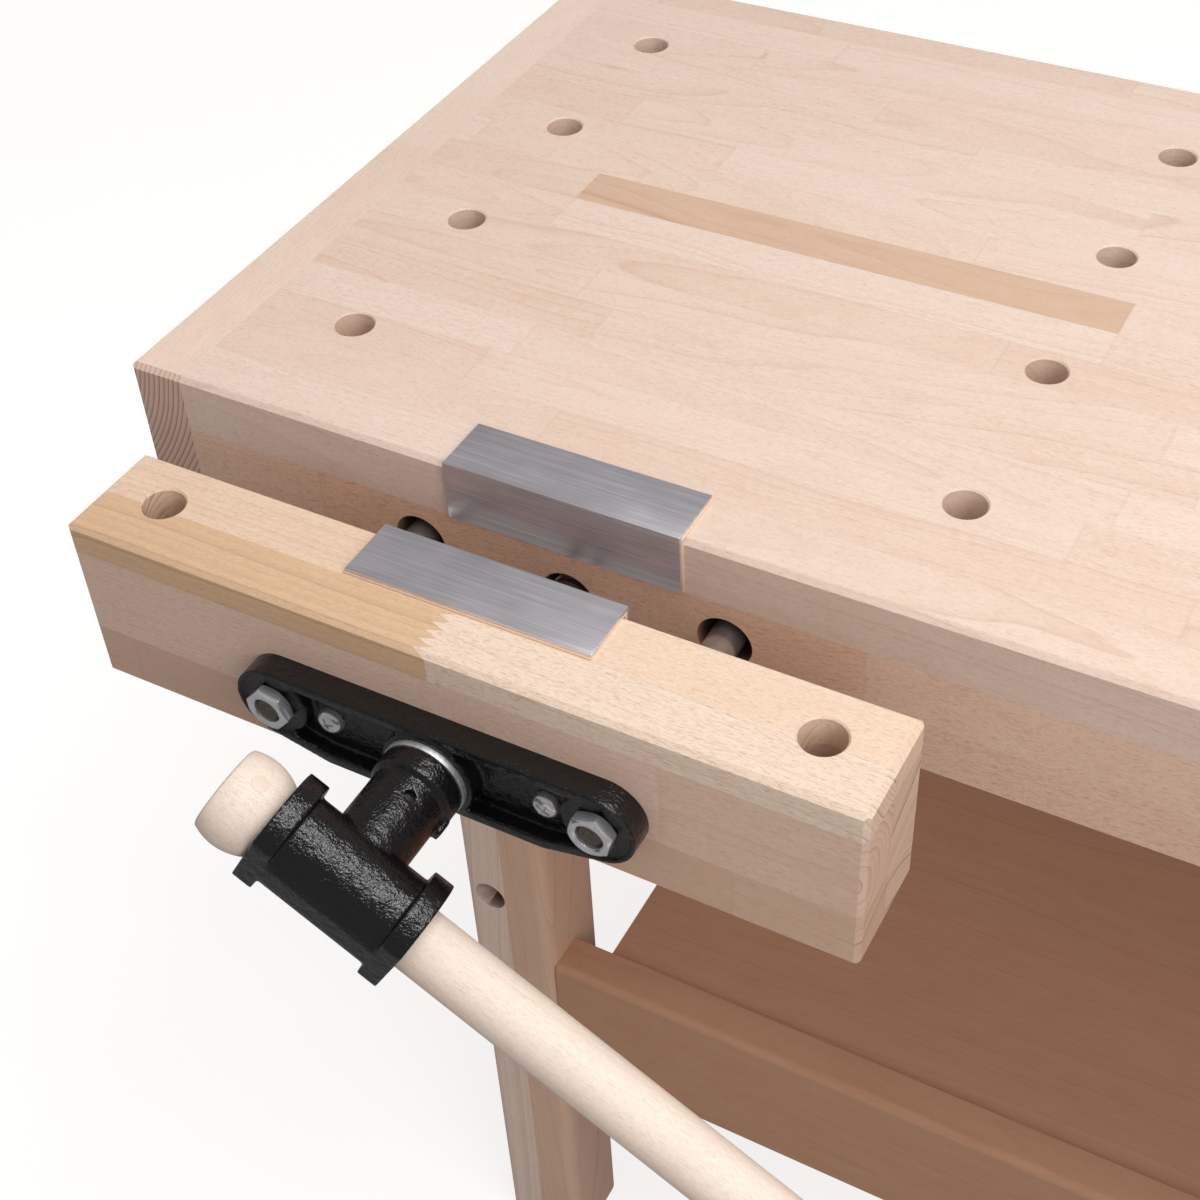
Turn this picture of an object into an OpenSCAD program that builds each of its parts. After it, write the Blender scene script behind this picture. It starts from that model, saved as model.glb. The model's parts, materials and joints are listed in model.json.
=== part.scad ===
// Woodworking bench with a wide front vise and a tail vise of the same pattern.
// While it is built, X runs along the bench from its left end, Y from the front edge to the
// rear, and Z up from the floor. placed() then moves the origin to the middle of the footprint.

/* [Bench top] */
// Length of the top over both end caps
bench_l = 1500; // [1460:10:2200]
// Depth of the top from its front edge to its rear edge
bench_d = 586; // [580:2:760]
// Height of the working surface above the floor
bench_h = 900; // [820:5:980]
// Height of the outer edges of the top
edge_h = 115; // [112:1:125]
// Thickness of the boards between the edges
board_t = 38; // [32:1:40]
// Thickness of the end caps along the bench
end_cap_t = 38; // [30:1:50]
// Thickness of the apron under the front edge
front_apron_t = 60; // [50:1:62]
// Thickness of the apron under the rear edge
rear_apron_t = 45; // [40:1:60]
// Chamfer along the outer edges of the top
edge_chamfer = 3.2; // [1:0.1:5]

/* [Dog holes] */
// Diameter of every dog hole
dog_d = 25; // [19:0.5:26]
// Spacing of the outer rows, of the first two columns and of the holes in each jaw
dog_span = 400; // [380:2:410]
// Distance of the first column from the left end
dog_col_in = 104; // [95:1:115]
// Spacing along the bench of the holes that serve the tail vise
tail_row_pitch = 200; // [180:10:260]
// Least distance of a dog hole from the right end cap
dog_keep = 60; // [50:1:90]
// Broken edge at the mouth of a dog hole
dog_chamfer = 1; // [0.4:0.1:1.5]

/* [Underframe] */
// Width of the square legs
leg_w = 70; // [64:1:76]
// Distance of the legs from the ends of the bench
leg_in_x = 182; // [160:1:190]
// Distance of the legs from the front and rear edges
leg_in_y = 20; // [14:1:24]
// Rounding of the long edges of the legs
leg_round = 10; // [4:1:14]
// Depth of the stretchers' upper edge below the working surface
stretcher_drop = 492; // [440:2:520]
// Height of the stretchers
stretcher_h = 120; // [110:1:140]
// Thickness of the stretchers
stretcher_t = 30; // [28:1:34]
// Set-back of the stretchers behind the outer faces of the legs
stretcher_back = 4; // [0:0.5:6]
// Rounding of the stretchers' upper outer edge
stretcher_round = 6; // [2:0.5:10]
// Height of the rails under the top
head_rail_h = 90; // [80:1:100]
// Height of the low rails
low_rail_h = 80; // [70:1:100]
// Height of the low rails' lower edge above the floor
low_rail_z = 70; // [40:2:90]
// Thickness of the head rails and low rails
rail_t = 50; // [40:1:56]
// Height of the peg holes in the front legs below the working surface
leg_peg_drop = 430; // [390:2:440]
// Distance of the peg holes from the outer side of the legs
leg_peg_in = 22; // [18:1:40]
// Depth of the peg holes
leg_peg_depth = 50; // [30:1:55]

/* [Shelf] */
// Thickness of the shelf
shelf_t = 18; // [15:1:24]
// Step from the stretchers' upper edge down to the shelf
shelf_step = 12; // [4:1:30]
// Space between the legs and the ends of the shelf
shelf_end_gap = 28; // [10:1:60]
// Width and height of the battens that carry the shelf
batten_w = 25; // [20:1:30]
// Space between the legs and the ends of the battens
batten_end_gap = 58; // [45:1:80]

/* [Jaws] */
// Length of each jaw
jaw_l = 480; // [460:2:500]
// Thickness of each jaw
jaw_t = 71; // [64:1:80]
// Opening of the front vise
front_gap = 65; // [40:1:110]
// Opening of the tail vise
tail_gap = 30; // [10:1:110]
// Distance of a jaw's dog holes from its outer face
jaw_dog_in = 38; // [32:1:44]
// Chamfer of the jaws' edges
jaw_chamfer = 3; // [1:0.5:6]

/* [Screws and guide rods] */
// Spacing of the two guide rods of a vise
rod_pitch = 200; // [196:2:220]
// Diameter of the guide rods
rod_d = 20; // [16:0.5:22]
// Depth of the guide rods below the working surface
rod_drop = 66; // [64:1:68]
// Diameter of the lead screws over the thread
screw_d = 24; // [22:0.5:26]
// Diameter of the plain shank at the outer end of the lead screws
shank_d = 20; // [16:0.5:21]
// Depth of the lead screws below the working surface
screw_drop = 72; // [70:0.5:74]
// Diameter of the clearance holes in the edges of the top
wall_hole_d = 34; // [28:1:36]
// Reach of the front vise's rods behind the front edge
front_reach = 230; // [200:5:280]
// Reach of the tail vise's rods behind the right end
tail_reach = 270; // [240:5:320]
// Length by which a lead screw is shorter than its rods
screw_short = 25; // [10:1:50]

/* [Bracket] */
// Height of the bracket's rim over the face of the jaw
rim_h = 15; // [14.5:0.1:18]
// Width of the rim
rim_w = 6; // [4:0.5:8]
// Thickness of the bracket's floor in its pockets
floor_t = 6; // [4:0.5:8]
// Height of the round pads under the rod nuts
pad_h = 13.5; // [11:0.1:14]
// Radius of the round pads
pad_r = 21; // [18:0.5:22]
// Radius of the bracket's round ends
end_r = 23; // [21:0.5:25]
// Height of the centre boss over the face of the jaw
boss_h = 18; // [16:0.1:22]
// Radius of the centre boss
boss_r = 27.5; // [25:0.5:29]
// Depth of the bracket's lower edge below the working surface
bracket_foot_drop = 97; // [94:1:100]
// Half of the straight part of the bracket's lower edge
bracket_foot_half = 68; // [60:1:72]
// Distance of the two bracket screws from the lead screw
bracket_screw_x = 67.5; // [60:0.5:70]

/* [Tee hub] */
// Radius of the hub's collar
collar_r = 24.5; // [23:0.5:26]
// Length of the hub's collar
collar_l = 14; // [10:0.5:18]
// Radius of the hub's neck
neck_r = 21.5; // [18:0.5:23]
// Distance of the barrel's axis from the face of the jaw
barrel_out = 95.5; // [90:0.5:110]
// Radius of the barrel
barrel_r = 26; // [24:0.5:28]
// Length of the barrel with its flanges
barrel_l = 92; // [80:1:110]
// Radius of the barrel's flanges
flange_r = 32; // [30:0.5:36]
// Width of each flange
flange_w = 12; // [8:0.5:16]
// Distance of the barrel's flat front from its axis
barrel_flat = 25; // [22:0.5:25.5]
// Diameter of the pin that holds the hub on the lead screw
hub_pin_d = 6; // [4:0.5:8]
// Distance of that pin from the face of the jaw
hub_pin_out = 45.5; // [42:0.5:50]

/* [Handles] */
// Diameter of the handle bars
bar_d = 35; // [28:0.5:35]
// Length of the bar between its knobs
bar_l = 360; // [300:5:420]
// Length of a knob
knob_l = 30; // [26:0.5:36]
// Radius of a knob's inner end
knob_inner_r = 21.5; // [20:0.5:24]
// Largest radius of a knob
knob_r = 26; // [25:0.5:29]
// Radius of a knob's outer end
knob_outer_r = 23.7; // [20:0.1:24.5]
// Diameter of the dowel across a knob
knob_pin_d = 9; // [6:0.5:10]
// Slope of the front vise's handle
front_handle_angle = -30; // [-80:1:-10]
// Slope of the tail vise's handle
tail_handle_angle = -45; // [-80:1:-10]

/* [Jaw caps] */
// Length of the angle caps
cap_l = 150; // [80:1:170]
// Width of each leg of the angle caps
cap_w = 40; // [30:1:48]
// Thickness of the metal
cap_t = 2; // [1.5:0.1:3]
// Thickness of the lining
liner_t = 1.5; // [1:0.1:3]

/* [Hidden] */
$fn = 64;

// Overrun of every cut past the face that it leaves
over = 1;
// Radial clearance of a bolt, peg or bush in its hole
seat_clear = 0.05;
// Radial clearance of the rods in their bushes and of the lead screw in its nut
run_clear = 0.1;
// Radial clearance of a rod or screw in a hole that only lets it through
pass_clear = 0.3;
// Gap between faces that turn or slide against each other
face_gap = 0.2;
// Radial clearance of the handle bar in the hub
bar_clear = 0.5;
// Thickness of the glue between two boards of the top
glue_line = 0.02;

// Bolts through the end caps
end_bolt_d = 8;
end_bolt_l = 92;
end_bolt_head_d = 16;
end_bolt_head_h = 6;
end_bolt_sink_d = 20;
end_bolt_sink_h = 12;
end_nut_d = 12;
end_nut_l = 26;
// Distance of the cross nut's axis from the face of the end cap
end_nut_in = 50;
// Distance of the outer bolts from the apron's inner face
end_bolt_off = 10;

// Bolts and barrel nuts of the stretchers
frame_bolt_d = 10;
frame_bolt_into = 45;
frame_bolt_head_r = 9.8;
frame_bolt_head_h = 7;
frame_washer_r = 11;
frame_washer_t = 2;
frame_sink_r = 13;
frame_sink_h = 11;
frame_bolt_top_in = 40;
frame_bolt_foot_in = 30;
barrel_nut_d = 15;
barrel_nut_l = 24;
barrel_nut_in = 30;

// Tenons, and pegs between the legs and the aprons
tenon_t = 20;
tenon_l = 40;
tenon_shoulder = 15;
tenon_end_gap = 1;
peg_d = 12;
peg_up = 20;
peg_down = 30;

// Nut block of a vise, its lead nut and its bushes
block_w = 60;
block_flange_t = 10;
block_web_t = 12;
bush_wall = 4;
block_wall = 7;
nut_wall = 5;
nut_flange_r = 27;
nut_flange_t = 8;
block_screw_x = 52;
block_screw_in = 12;
block_screw_d = 8;
block_screw_up = 28;
block_screw_head_r = 6.5;
block_screw_head_h = 5.5;

// Studs, rod nuts and bracket screws
stud_d = 16;
stud_short = 2;
rod_nut_af = 24;
rod_nut_h = 8.3;
rod_nut_face_r = 11.4;
left_nut_turn = 49;
right_nut_turn = 75;
bracket_screw_head_r = 8;
bracket_screw_crown_r = 6;
bracket_screw_head_h = 6;
bracket_screw_d = 6;
bracket_screw_l = 36;
bracket_screw_up = 1;

// Collar and washer on the lead screw
retainer_r = 20;
retainer_t = 12;
retainer_pocket_r = 22;
washer_r = 24;
washer_t = 2.8;
screw_tip_chamfer = 3;

// Small details of the hub
lug_reach = 27;
lug_w = 8;
lug_l = 14;
lug_start = 34;
shank_into_hub = 50;
// Length by which the hub pin stays inside the neck at each end
hub_pin_sink = 4;

// Tenons on the handle bar and steps of a knob's profile
bar_tenon_d = 22;
bar_tenon_l = 22;
knob_steps = 14;
knob_belly_share = 0.5;
knob_dome_h = 1.5;
// Place of the dowel along a knob, measured from its inner end
knob_pin_share = 0.5;
// Length by which the dowel stays inside the knob at each end
knob_pin_sink = 0.4;

// Derived sizes of the top
dog_row_in = (bench_d - dog_span) / 2;
dog_row_pitch = dog_span / 3;
board_split_front = dog_row_in + dog_row_pitch / 2;
board_split_rear = bench_d - board_split_front;
slab_x0 = end_cap_t;
slab_x1 = bench_l - end_cap_t;
dog_cols = [dog_col_in, dog_col_in + dog_span];
tail_cols = [for (x = dog_col_in + dog_span + tail_row_pitch; x < slab_x1 - dog_keep;
    x = x + tail_row_pitch) x];
vise_x = dog_col_in + dog_span / 2;
apron_h = edge_h - board_t;
leg_h = bench_h - edge_h;
end_bolt_rows = [front_apron_t + end_bolt_off, bench_d / 2, bench_d - front_apron_t - end_bolt_off];

// Derived sizes of the underframe
stretcher_z1 = bench_h - stretcher_drop;
stretcher_z0 = stretcher_z1 - stretcher_h;
stretcher_y = leg_in_y + stretcher_back;
frame_bolt_zs = [stretcher_z0 + frame_bolt_foot_in, stretcher_z1 - frame_bolt_top_in];
shelf_z1 = stretcher_z1 - shelf_step;
bay_x0 = leg_in_x + leg_w;
bay_x1 = bench_l - bay_x0;
frame_bolt_y = stretcher_back + stretcher_t / 2;

// Derived sizes of the vises
block_half = rod_pitch / 2 + rod_d / 2 + bush_wall + block_wall;
bush_r = rod_d / 2 + bush_wall;
nut_r = screw_d / 2 + nut_wall;
hub_start = boss_h + face_gap + washer_t;
jaw_dog_y = jaw_dog_in - jaw_t;
handle_start = barrel_l / 2 + face_gap;
vise_reach = barrel_out + knob_r;
cap_rise = liner_t + cap_t;
mid_x = (bench_l + tail_gap + jaw_t + vise_reach) / 2;
mid_y = (bench_d - front_gap - jaw_t - vise_reach) / 2;

// Frames

module placed() {
    translate([-mid_x, -mid_y, 0]) children();
}

// Origin of a vise: on the face it is fixed to, at its centre, level with the working surface.
// X runs along the jaw and -Y points out of the bench.
module at_front_vise() {
    placed() translate([vise_x, 0, bench_h]) children();
}

module at_tail_vise() {
    placed() translate([bench_l, bench_d / 2, bench_h]) rotate([0, 0, 90]) children();
}

// Outer face of a jaw, on the axis of the lead screw
module at_screw(gap) {
    translate([0, -gap - jaw_t, -screw_drop]) children();
}

// The same place, turned so that X runs down along the handle bar
module at_hub(gap, angle) {
    at_screw(gap) rotate([0, -angle, 0]) children();
}

module flip_x(on) {
    if (on) translate([bench_l, 0, 0]) mirror([1, 0, 0]) children();
    else children();
}

module flip_y(on) {
    if (on) translate([0, bench_d, 0]) mirror([0, 1, 0]) children();
    else children();
}

module both_sides(x) {
    for (side = [-1, 1]) translate([side * x, 0, 0]) children();
}

// Shapes

module rod_x(r, x0, x1) {
    translate([x0, 0, 0]) rotate([0, 90, 0]) cylinder(r = r, h = x1 - x0);
}

module rod_y(r, y0, y1) {
    translate([0, y0, 0]) rotate([-90, 0, 0]) cylinder(r = r, h = y1 - y0);
}

module ring_y(r, hole_r, y0, y1) {
    difference() {
        rod_y(r, y0, y1);
        rod_y(hole_r, y0 - over, y1 + over);
    }
}

// Cutter for a chamfer of leg c along an edge that starts at the origin and runs along X
module edge_cut(l, c) {
    side = c * sqrt(2);
    rotate([45, 0, 0]) translate([-over, -side / 2, -side / 2]) cube([l + 2 * over, side, side]);
}

module cut_corner_rect(w, h, c) {
    polygon([[c, 0], [w - c, 0], [w, c], [w, h - c], [w - c, h], [c, h], [0, h - c], [0, c]]);
}

module chamfered_block(l, w, h, c) {
    intersection() {
        linear_extrude(h) cut_corner_rect(l, w, c);
        translate([0, w, 0]) rotate([90, 0, 0]) linear_extrude(w) cut_corner_rect(l, h, c);
        rotate([90, 0, 90]) linear_extrude(l) cut_corner_rect(w, h, c);
    }
}

module rounded_rect(w, h, r) {
    translate([r, 0]) square([w - 2 * r, h]);
    translate([0, r]) square([w, h - 2 * r]);
    for (x = [r, w - r], y = [r, h - r]) translate([x, y]) circle(r = r);
}

module hexagon_prism(across_flats, h) {
    cylinder(d = across_flats / cos(30), h = h, $fn = 6);
}

// Cutter for a dog hole that opens upwards at the origin
module dog_hole(depth) {
    translate([0, 0, -depth - over]) cylinder(d = dog_d, h = depth + 2 * over);
    translate([0, 0, -dog_chamfer])
        cylinder(d1 = dog_d, d2 = dog_d + 4 * dog_chamfer, h = 2 * dog_chamfer);
}

// Bench top

module top_board(y0, y1) {
    translate([slab_x0, y0, bench_h - board_t]) cube([slab_x1 - slab_x0, y1 - y0, board_t]);
}

module dog_row(row, cols) {
    for (x = cols) translate([x, dog_row_in + row * dog_row_pitch, bench_h]) dog_hole(board_t);
}

// Holes for the end bolt in row i and for its cross nut, at both ends of the boards
module end_bolt_holes(i) {
    for (right = [false, true]) flip_x(right) translate([0, end_bolt_rows[i], bench_h - board_t]) {
        translate([0, 0, board_t / 2]) rod_x(end_bolt_d / 2 + seat_clear, -over, end_bolt_l + over);
        translate([end_cap_t + end_nut_in, 0, -over])
            cylinder(d = end_nut_d + 2 * seat_clear, h = end_nut_l + over + face_gap);
    }
}

module block_screw_places(wall) {
    for (x = [-block_screw_x, block_screw_x], y = [block_screw_in, block_w - block_screw_in])
        translate([x, wall + y, -board_t]) children();
}

// Pilot holes for the screws of both nut blocks
module block_screw_holes() {
    at_front_vise() block_screw_places(front_apron_t) block_screw_hole();
    at_tail_vise() block_screw_places(end_cap_t) block_screw_hole();
}

module block_screw_hole() {
    translate([0, 0, -over])
        cylinder(d = block_screw_d + 2 * seat_clear, h = block_screw_up + face_gap + over);
}

module top_board_front() {
    color("burlywood") difference() {
        placed() difference() {
            top_board(0, board_split_front);
            translate([0, 0, bench_h]) edge_cut(bench_l, edge_chamfer);
            dog_row(0, concat(dog_cols, tail_cols));
            end_bolt_holes(0);
        }
        block_screw_holes();
    }
}

module top_board_middle() {
    color("burlywood") difference() {
        placed() difference() {
            top_board(board_split_front + glue_line, board_split_rear - glue_line);
            for (row = [1, 2]) dog_row(row, dog_cols);
            end_bolt_holes(1);
        }
        block_screw_holes();
    }
}

module top_board_rear() {
    color("burlywood") difference() {
        placed() difference() {
            top_board(board_split_rear, bench_d);
            translate([0, bench_d, bench_h]) edge_cut(bench_l, edge_chamfer);
            dog_row(3, concat(dog_cols, tail_cols));
            end_bolt_holes(2);
        }
        block_screw_holes();
    }
}

// Cutters for the guide rods and the lead screw through an edge of the top
module wall_holes(wall) {
    both_sides(rod_pitch / 2) translate([0, 0, -rod_drop]) rod_y(wall_hole_d / 2, -over, wall + over);
    translate([0, 0, -screw_drop]) rod_y(wall_hole_d / 2, -over, wall + over);
}

// Middle of the strip where a leg and an apron of this thickness overlap
function peg_y(apron_t) = (leg_in_y + apron_t) / 2;

module peg_hole(apron_t) {
    translate([leg_in_x + leg_w / 2, peg_y(apron_t), leg_h - peg_down])
        cylinder(d = peg_d + 2 * seat_clear, h = peg_down + peg_up);
}

module front_apron() {
    color("burlywood") difference() {
        placed() difference() {
            translate([slab_x0, 0, leg_h]) cube([slab_x1 - slab_x0, front_apron_t, apron_h]);
            translate([0, 0, leg_h]) edge_cut(bench_l, edge_chamfer);
            for (right = [false, true]) flip_x(right) peg_hole(front_apron_t);
        }
        at_front_vise() wall_holes(front_apron_t);
    }
}

module rear_apron() {
    color("burlywood") placed() flip_y(true) difference() {
        translate([slab_x0, 0, leg_h]) cube([slab_x1 - slab_x0, rear_apron_t, apron_h]);
        translate([0, 0, leg_h]) edge_cut(bench_l, edge_chamfer);
        for (right = [false, true]) flip_x(right) peg_hole(rear_apron_t);
    }
}

module end_cap() {
    difference() {
        translate([0, 0, leg_h]) cube([end_cap_t, bench_d, edge_h]);
        for (z = [leg_h, bench_h]) translate([0, 0, z]) {
            edge_cut(end_cap_t, edge_chamfer);
            translate([0, bench_d, 0]) edge_cut(end_cap_t, edge_chamfer);
            rotate([0, 0, 90]) edge_cut(bench_d, edge_chamfer);
        }
        for (y = [0, bench_d]) translate([0, y, leg_h]) rotate([0, -90, 0]) edge_cut(edge_h, edge_chamfer);
        for (y = end_bolt_rows) translate([0, y, bench_h - board_t / 2]) {
            rod_x(end_bolt_d / 2 + seat_clear, -over, end_cap_t + over);
            rod_x(end_bolt_sink_d / 2, -over, end_bolt_sink_h);
        }
    }
}

module left_end_cap() {
    color("wheat") placed() end_cap();
}

module right_end_cap() {
    color("wheat") difference() {
        placed() flip_x(true) end_cap();
        at_tail_vise() wall_holes(end_cap_t);
    }
}

module end_cap_bolts() {
    color("silver") placed() for (right = [false, true]) flip_x(right)
        for (y = end_bolt_rows) translate([0, y, bench_h - board_t / 2]) {
            rod_x(end_bolt_d / 2, end_bolt_sink_h - end_bolt_head_h, end_bolt_l);
            rod_x(end_bolt_head_d / 2, end_bolt_sink_h - end_bolt_head_h, end_bolt_sink_h);
        }
}

// Underframe

module at_corner(right, rear) {
    flip_x(right) flip_y(rear) translate([leg_in_x, leg_in_y, 0]) children();
}

module rail_mortise(z0, h) {
    translate([(leg_w - tenon_t) / 2, leg_w - tenon_l - tenon_end_gap, z0 + tenon_shoulder])
        cube([tenon_t, tenon_l + tenon_end_gap + over, h - 2 * tenon_shoulder]);
}

module leg(right, rear) {
    color("wheat") placed() difference() {
        at_corner(right, rear) difference() {
            linear_extrude(leg_h) rounded_rect(leg_w, leg_w, leg_round);
            rail_mortise(leg_h - head_rail_h, head_rail_h);
            rail_mortise(low_rail_z, low_rail_h);
            for (z = frame_bolt_zs) translate([0, frame_bolt_y, z]) {
                rod_x(frame_bolt_d / 2 + seat_clear, -over, leg_w + over);
                rod_x(frame_sink_r, -over, frame_sink_h);
            }
            if (!rear) translate([leg_peg_in, 0, bench_h - leg_peg_drop])
                rod_y(dog_d / 2, -over, leg_peg_depth);
        }
        flip_x(right) flip_y(rear) peg_hole(rear ? rear_apron_t : front_apron_t);
    }
}

module front_left_leg() {
    leg(false, false);
}

module front_right_leg() {
    leg(true, false);
}

module rear_left_leg() {
    leg(false, true);
}

module rear_right_leg() {
    leg(true, true);
}

// Rail between the front and rear leg of one trestle, with a tenon at each end
module cross_rail(right, z0, h) {
    y0 = leg_in_y + leg_w;
    l = bench_d - 2 * y0;
    color("tan") placed() flip_x(right) {
        translate([leg_in_x + (leg_w - rail_t) / 2, y0, z0]) cube([rail_t, l, h]);
        translate([leg_in_x + (leg_w - tenon_t) / 2, y0 - tenon_l, z0 + tenon_shoulder])
            cube([tenon_t, l + 2 * tenon_l, h - 2 * tenon_shoulder]);
    }
}

module left_head_rail() {
    cross_rail(false, leg_h - head_rail_h, head_rail_h);
}

module right_head_rail() {
    cross_rail(true, leg_h - head_rail_h, head_rail_h);
}

module left_low_rail() {
    cross_rail(false, low_rail_z, low_rail_h);
}

module right_low_rail() {
    cross_rail(true, low_rail_z, low_rail_h);
}

module stretcher_profile() {
    difference() {
        square([stretcher_t, stretcher_h]);
        translate([0, stretcher_h - stretcher_round]) difference() {
            translate([-over, 0]) square([stretcher_round + over, stretcher_round + over]);
            translate([stretcher_round, 0]) circle(r = stretcher_round);
        }
    }
}

module stretcher(rear) {
    color("sandybrown") placed() flip_y(rear) difference() {
        translate([bay_x0, stretcher_y, stretcher_z0]) rotate([90, 0, 90])
            linear_extrude(bay_x1 - bay_x0) stretcher_profile();
        for (right = [false, true], z = frame_bolt_zs) flip_x(right)
            translate([bay_x0, stretcher_y + stretcher_t / 2, z]) {
                rod_x(frame_bolt_d / 2 + seat_clear, -over, frame_bolt_into + over);
                translate([barrel_nut_in, 0, 0])
                    rod_y(barrel_nut_d / 2 + seat_clear, stretcher_t / 2 - barrel_nut_l - face_gap,
                        stretcher_t / 2 + over);
            }
    }
}

module front_stretcher() {
    stretcher(false);
}

module rear_stretcher() {
    stretcher(true);
}

module each_frame_bolt() {
    for (right = [false, true], rear = [false, true], z = frame_bolt_zs)
        flip_x(right) flip_y(rear) translate([leg_in_x, stretcher_y + stretcher_t / 2, z]) children();
}

module stretcher_bolts() {
    washer_x = frame_sink_h - frame_washer_t;
    color("silver") placed() each_frame_bolt() {
        rod_x(frame_bolt_d / 2, washer_x - frame_bolt_head_h, leg_w + frame_bolt_into);
        rod_x(frame_washer_r, washer_x, frame_sink_h);
        translate([washer_x - frame_bolt_head_h, 0, 0]) rotate([0, 90, 0])
            cylinder(r = frame_bolt_head_r, h = frame_bolt_head_h, $fn = 6);
    }
}

module barrel_nuts() {
    color("gray") placed() {
        each_frame_bolt() translate([leg_w + barrel_nut_in, 0, 0]) difference() {
            rod_y(barrel_nut_d / 2, stretcher_t / 2 - barrel_nut_l, stretcher_t / 2);
            rod_x(frame_bolt_d / 2 + seat_clear, -barrel_nut_d, barrel_nut_d);
        }
        for (right = [false, true], y = end_bolt_rows) flip_x(right)
            translate([end_cap_t + end_nut_in, y, bench_h - board_t]) difference() {
                cylinder(d = end_nut_d, h = end_nut_l);
                translate([0, 0, board_t / 2]) rod_x(end_bolt_d / 2 + seat_clear, -end_nut_d, end_nut_d);
            }
    }
}

module top_pegs() {
    color("tan") placed() for (right = [false, true], rear = [false, true]) flip_x(right) flip_y(rear)
        translate([leg_in_x + leg_w / 2, peg_y(rear ? rear_apron_t : front_apron_t), leg_h - peg_down])
            cylinder(d = peg_d, h = peg_down + peg_up);
}

// Shelf

module shelf() {
    y0 = stretcher_y + stretcher_t;
    color("peru") placed() translate([bay_x0 + shelf_end_gap, y0, shelf_z1 - shelf_t])
        cube([bay_x1 - bay_x0 - 2 * shelf_end_gap, bench_d - 2 * y0, shelf_t]);
}

module shelf_battens() {
    color("tan") placed() for (rear = [false, true]) flip_y(rear)
        translate([bay_x0 + batten_end_gap, stretcher_y + stretcher_t, shelf_z1 - shelf_t - batten_w])
            cube([bay_x1 - bay_x0 - 2 * batten_end_gap, batten_w, batten_w]);
}

// Fixed side of the vises

module nut_block(wall) {
    translate([0, wall, 0]) difference() {
        union() {
            translate([-block_half, 0, -board_t - block_flange_t])
                cube([2 * block_half, block_w, block_flange_t]);
            translate([-block_half + block_wall, (block_w - block_web_t) / 2, -rod_drop])
                cube([2 * (block_half - block_wall), block_web_t, rod_drop - board_t]);
            both_sides(rod_pitch / 2) nut_block_boss(rod_drop, bush_r + block_wall);
            nut_block_boss(screw_drop, nut_r + block_wall);
        }
        both_sides(rod_pitch / 2) translate([0, 0, -rod_drop])
            rod_y(bush_r + seat_clear, -over, block_w + over);
        translate([0, 0, -screw_drop]) rod_y(nut_r + seat_clear, -over, block_w + over);
        block_screw_through();
    }
}

module nut_block_boss(drop, r) {
    translate([0, 0, -drop]) rod_y(r, 0, block_w);
    translate([-r, 0, -drop]) cube([2 * r, block_w, drop - board_t]);
}

module block_screw_through() {
    translate([0, 0, -over]) block_screw_places(0) translate([0, 0, -block_flange_t])
        cylinder(d = block_screw_d + 2 * seat_clear, h = block_flange_t + 2 * over);
}

module nut_blocks() {
    color("dimgray") {
        at_front_vise() nut_block(front_apron_t);
        at_tail_vise() nut_block(end_cap_t);
    }
}

module block_screw() {
    translate([0, 0, -block_flange_t]) {
        cylinder(d = block_screw_d, h = block_flange_t + block_screw_up);
        translate([0, 0, -block_screw_head_h])
            cylinder(r = block_screw_head_r, h = block_screw_head_h, $fn = 6);
    }
}

module nut_block_screws() {
    color("silver") {
        at_front_vise() block_screw_places(front_apron_t) block_screw();
        at_tail_vise() block_screw_places(end_cap_t) block_screw();
    }
}

module lead_nut(wall) {
    translate([0, wall, -screw_drop]) difference() {
        union() {
            rod_y(nut_r, 0, block_w);
            rod_y(nut_flange_r, block_w, block_w + nut_flange_t);
        }
        rod_y(screw_d / 2 + run_clear, -over, block_w + nut_flange_t + over);
    }
}

module lead_nuts() {
    color("goldenrod") {
        at_front_vise() lead_nut(front_apron_t);
        at_tail_vise() lead_nut(end_cap_t);
    }
}

module bush_pair(wall) {
    both_sides(rod_pitch / 2) translate([0, wall, -rod_drop])
        ring_y(bush_r, rod_d / 2 + run_clear, 0, block_w);
}

module guide_bushes() {
    color("goldenrod") {
        at_front_vise() bush_pair(front_apron_t);
        at_tail_vise() bush_pair(end_cap_t);
    }
}

// Angle caps over the edge of the bench and the edge of the jaw

// Angle with its outer corner lifted by rise over the edge, hanging over the face at Y = 0
module edge_angle(rise, t, w) {
    translate([-cap_l / 2, -rise, rise - t]) cube([cap_l, w, t]);
    translate([-cap_l / 2, -rise, rise - w]) cube([cap_l, t, w]);
}

module bench_cap() {
    color("lightgray") at_front_vise() edge_angle(cap_rise, cap_t, cap_w);
}

module bench_cap_lining() {
    color("tan") at_front_vise() edge_angle(liner_t, liner_t, cap_w - cap_t);
}

module over_jaw_edge() {
    at_front_vise() translate([0, -front_gap, 0]) mirror([0, 1, 0]) children();
}

module jaw_cap() {
    color("lightgray") over_jaw_edge() edge_angle(cap_rise, cap_t, cap_w);
}

module jaw_cap_lining() {
    color("tan") over_jaw_edge() edge_angle(liner_t, liner_t, cap_w - cap_t);
}

// Moving side of a vise

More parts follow.
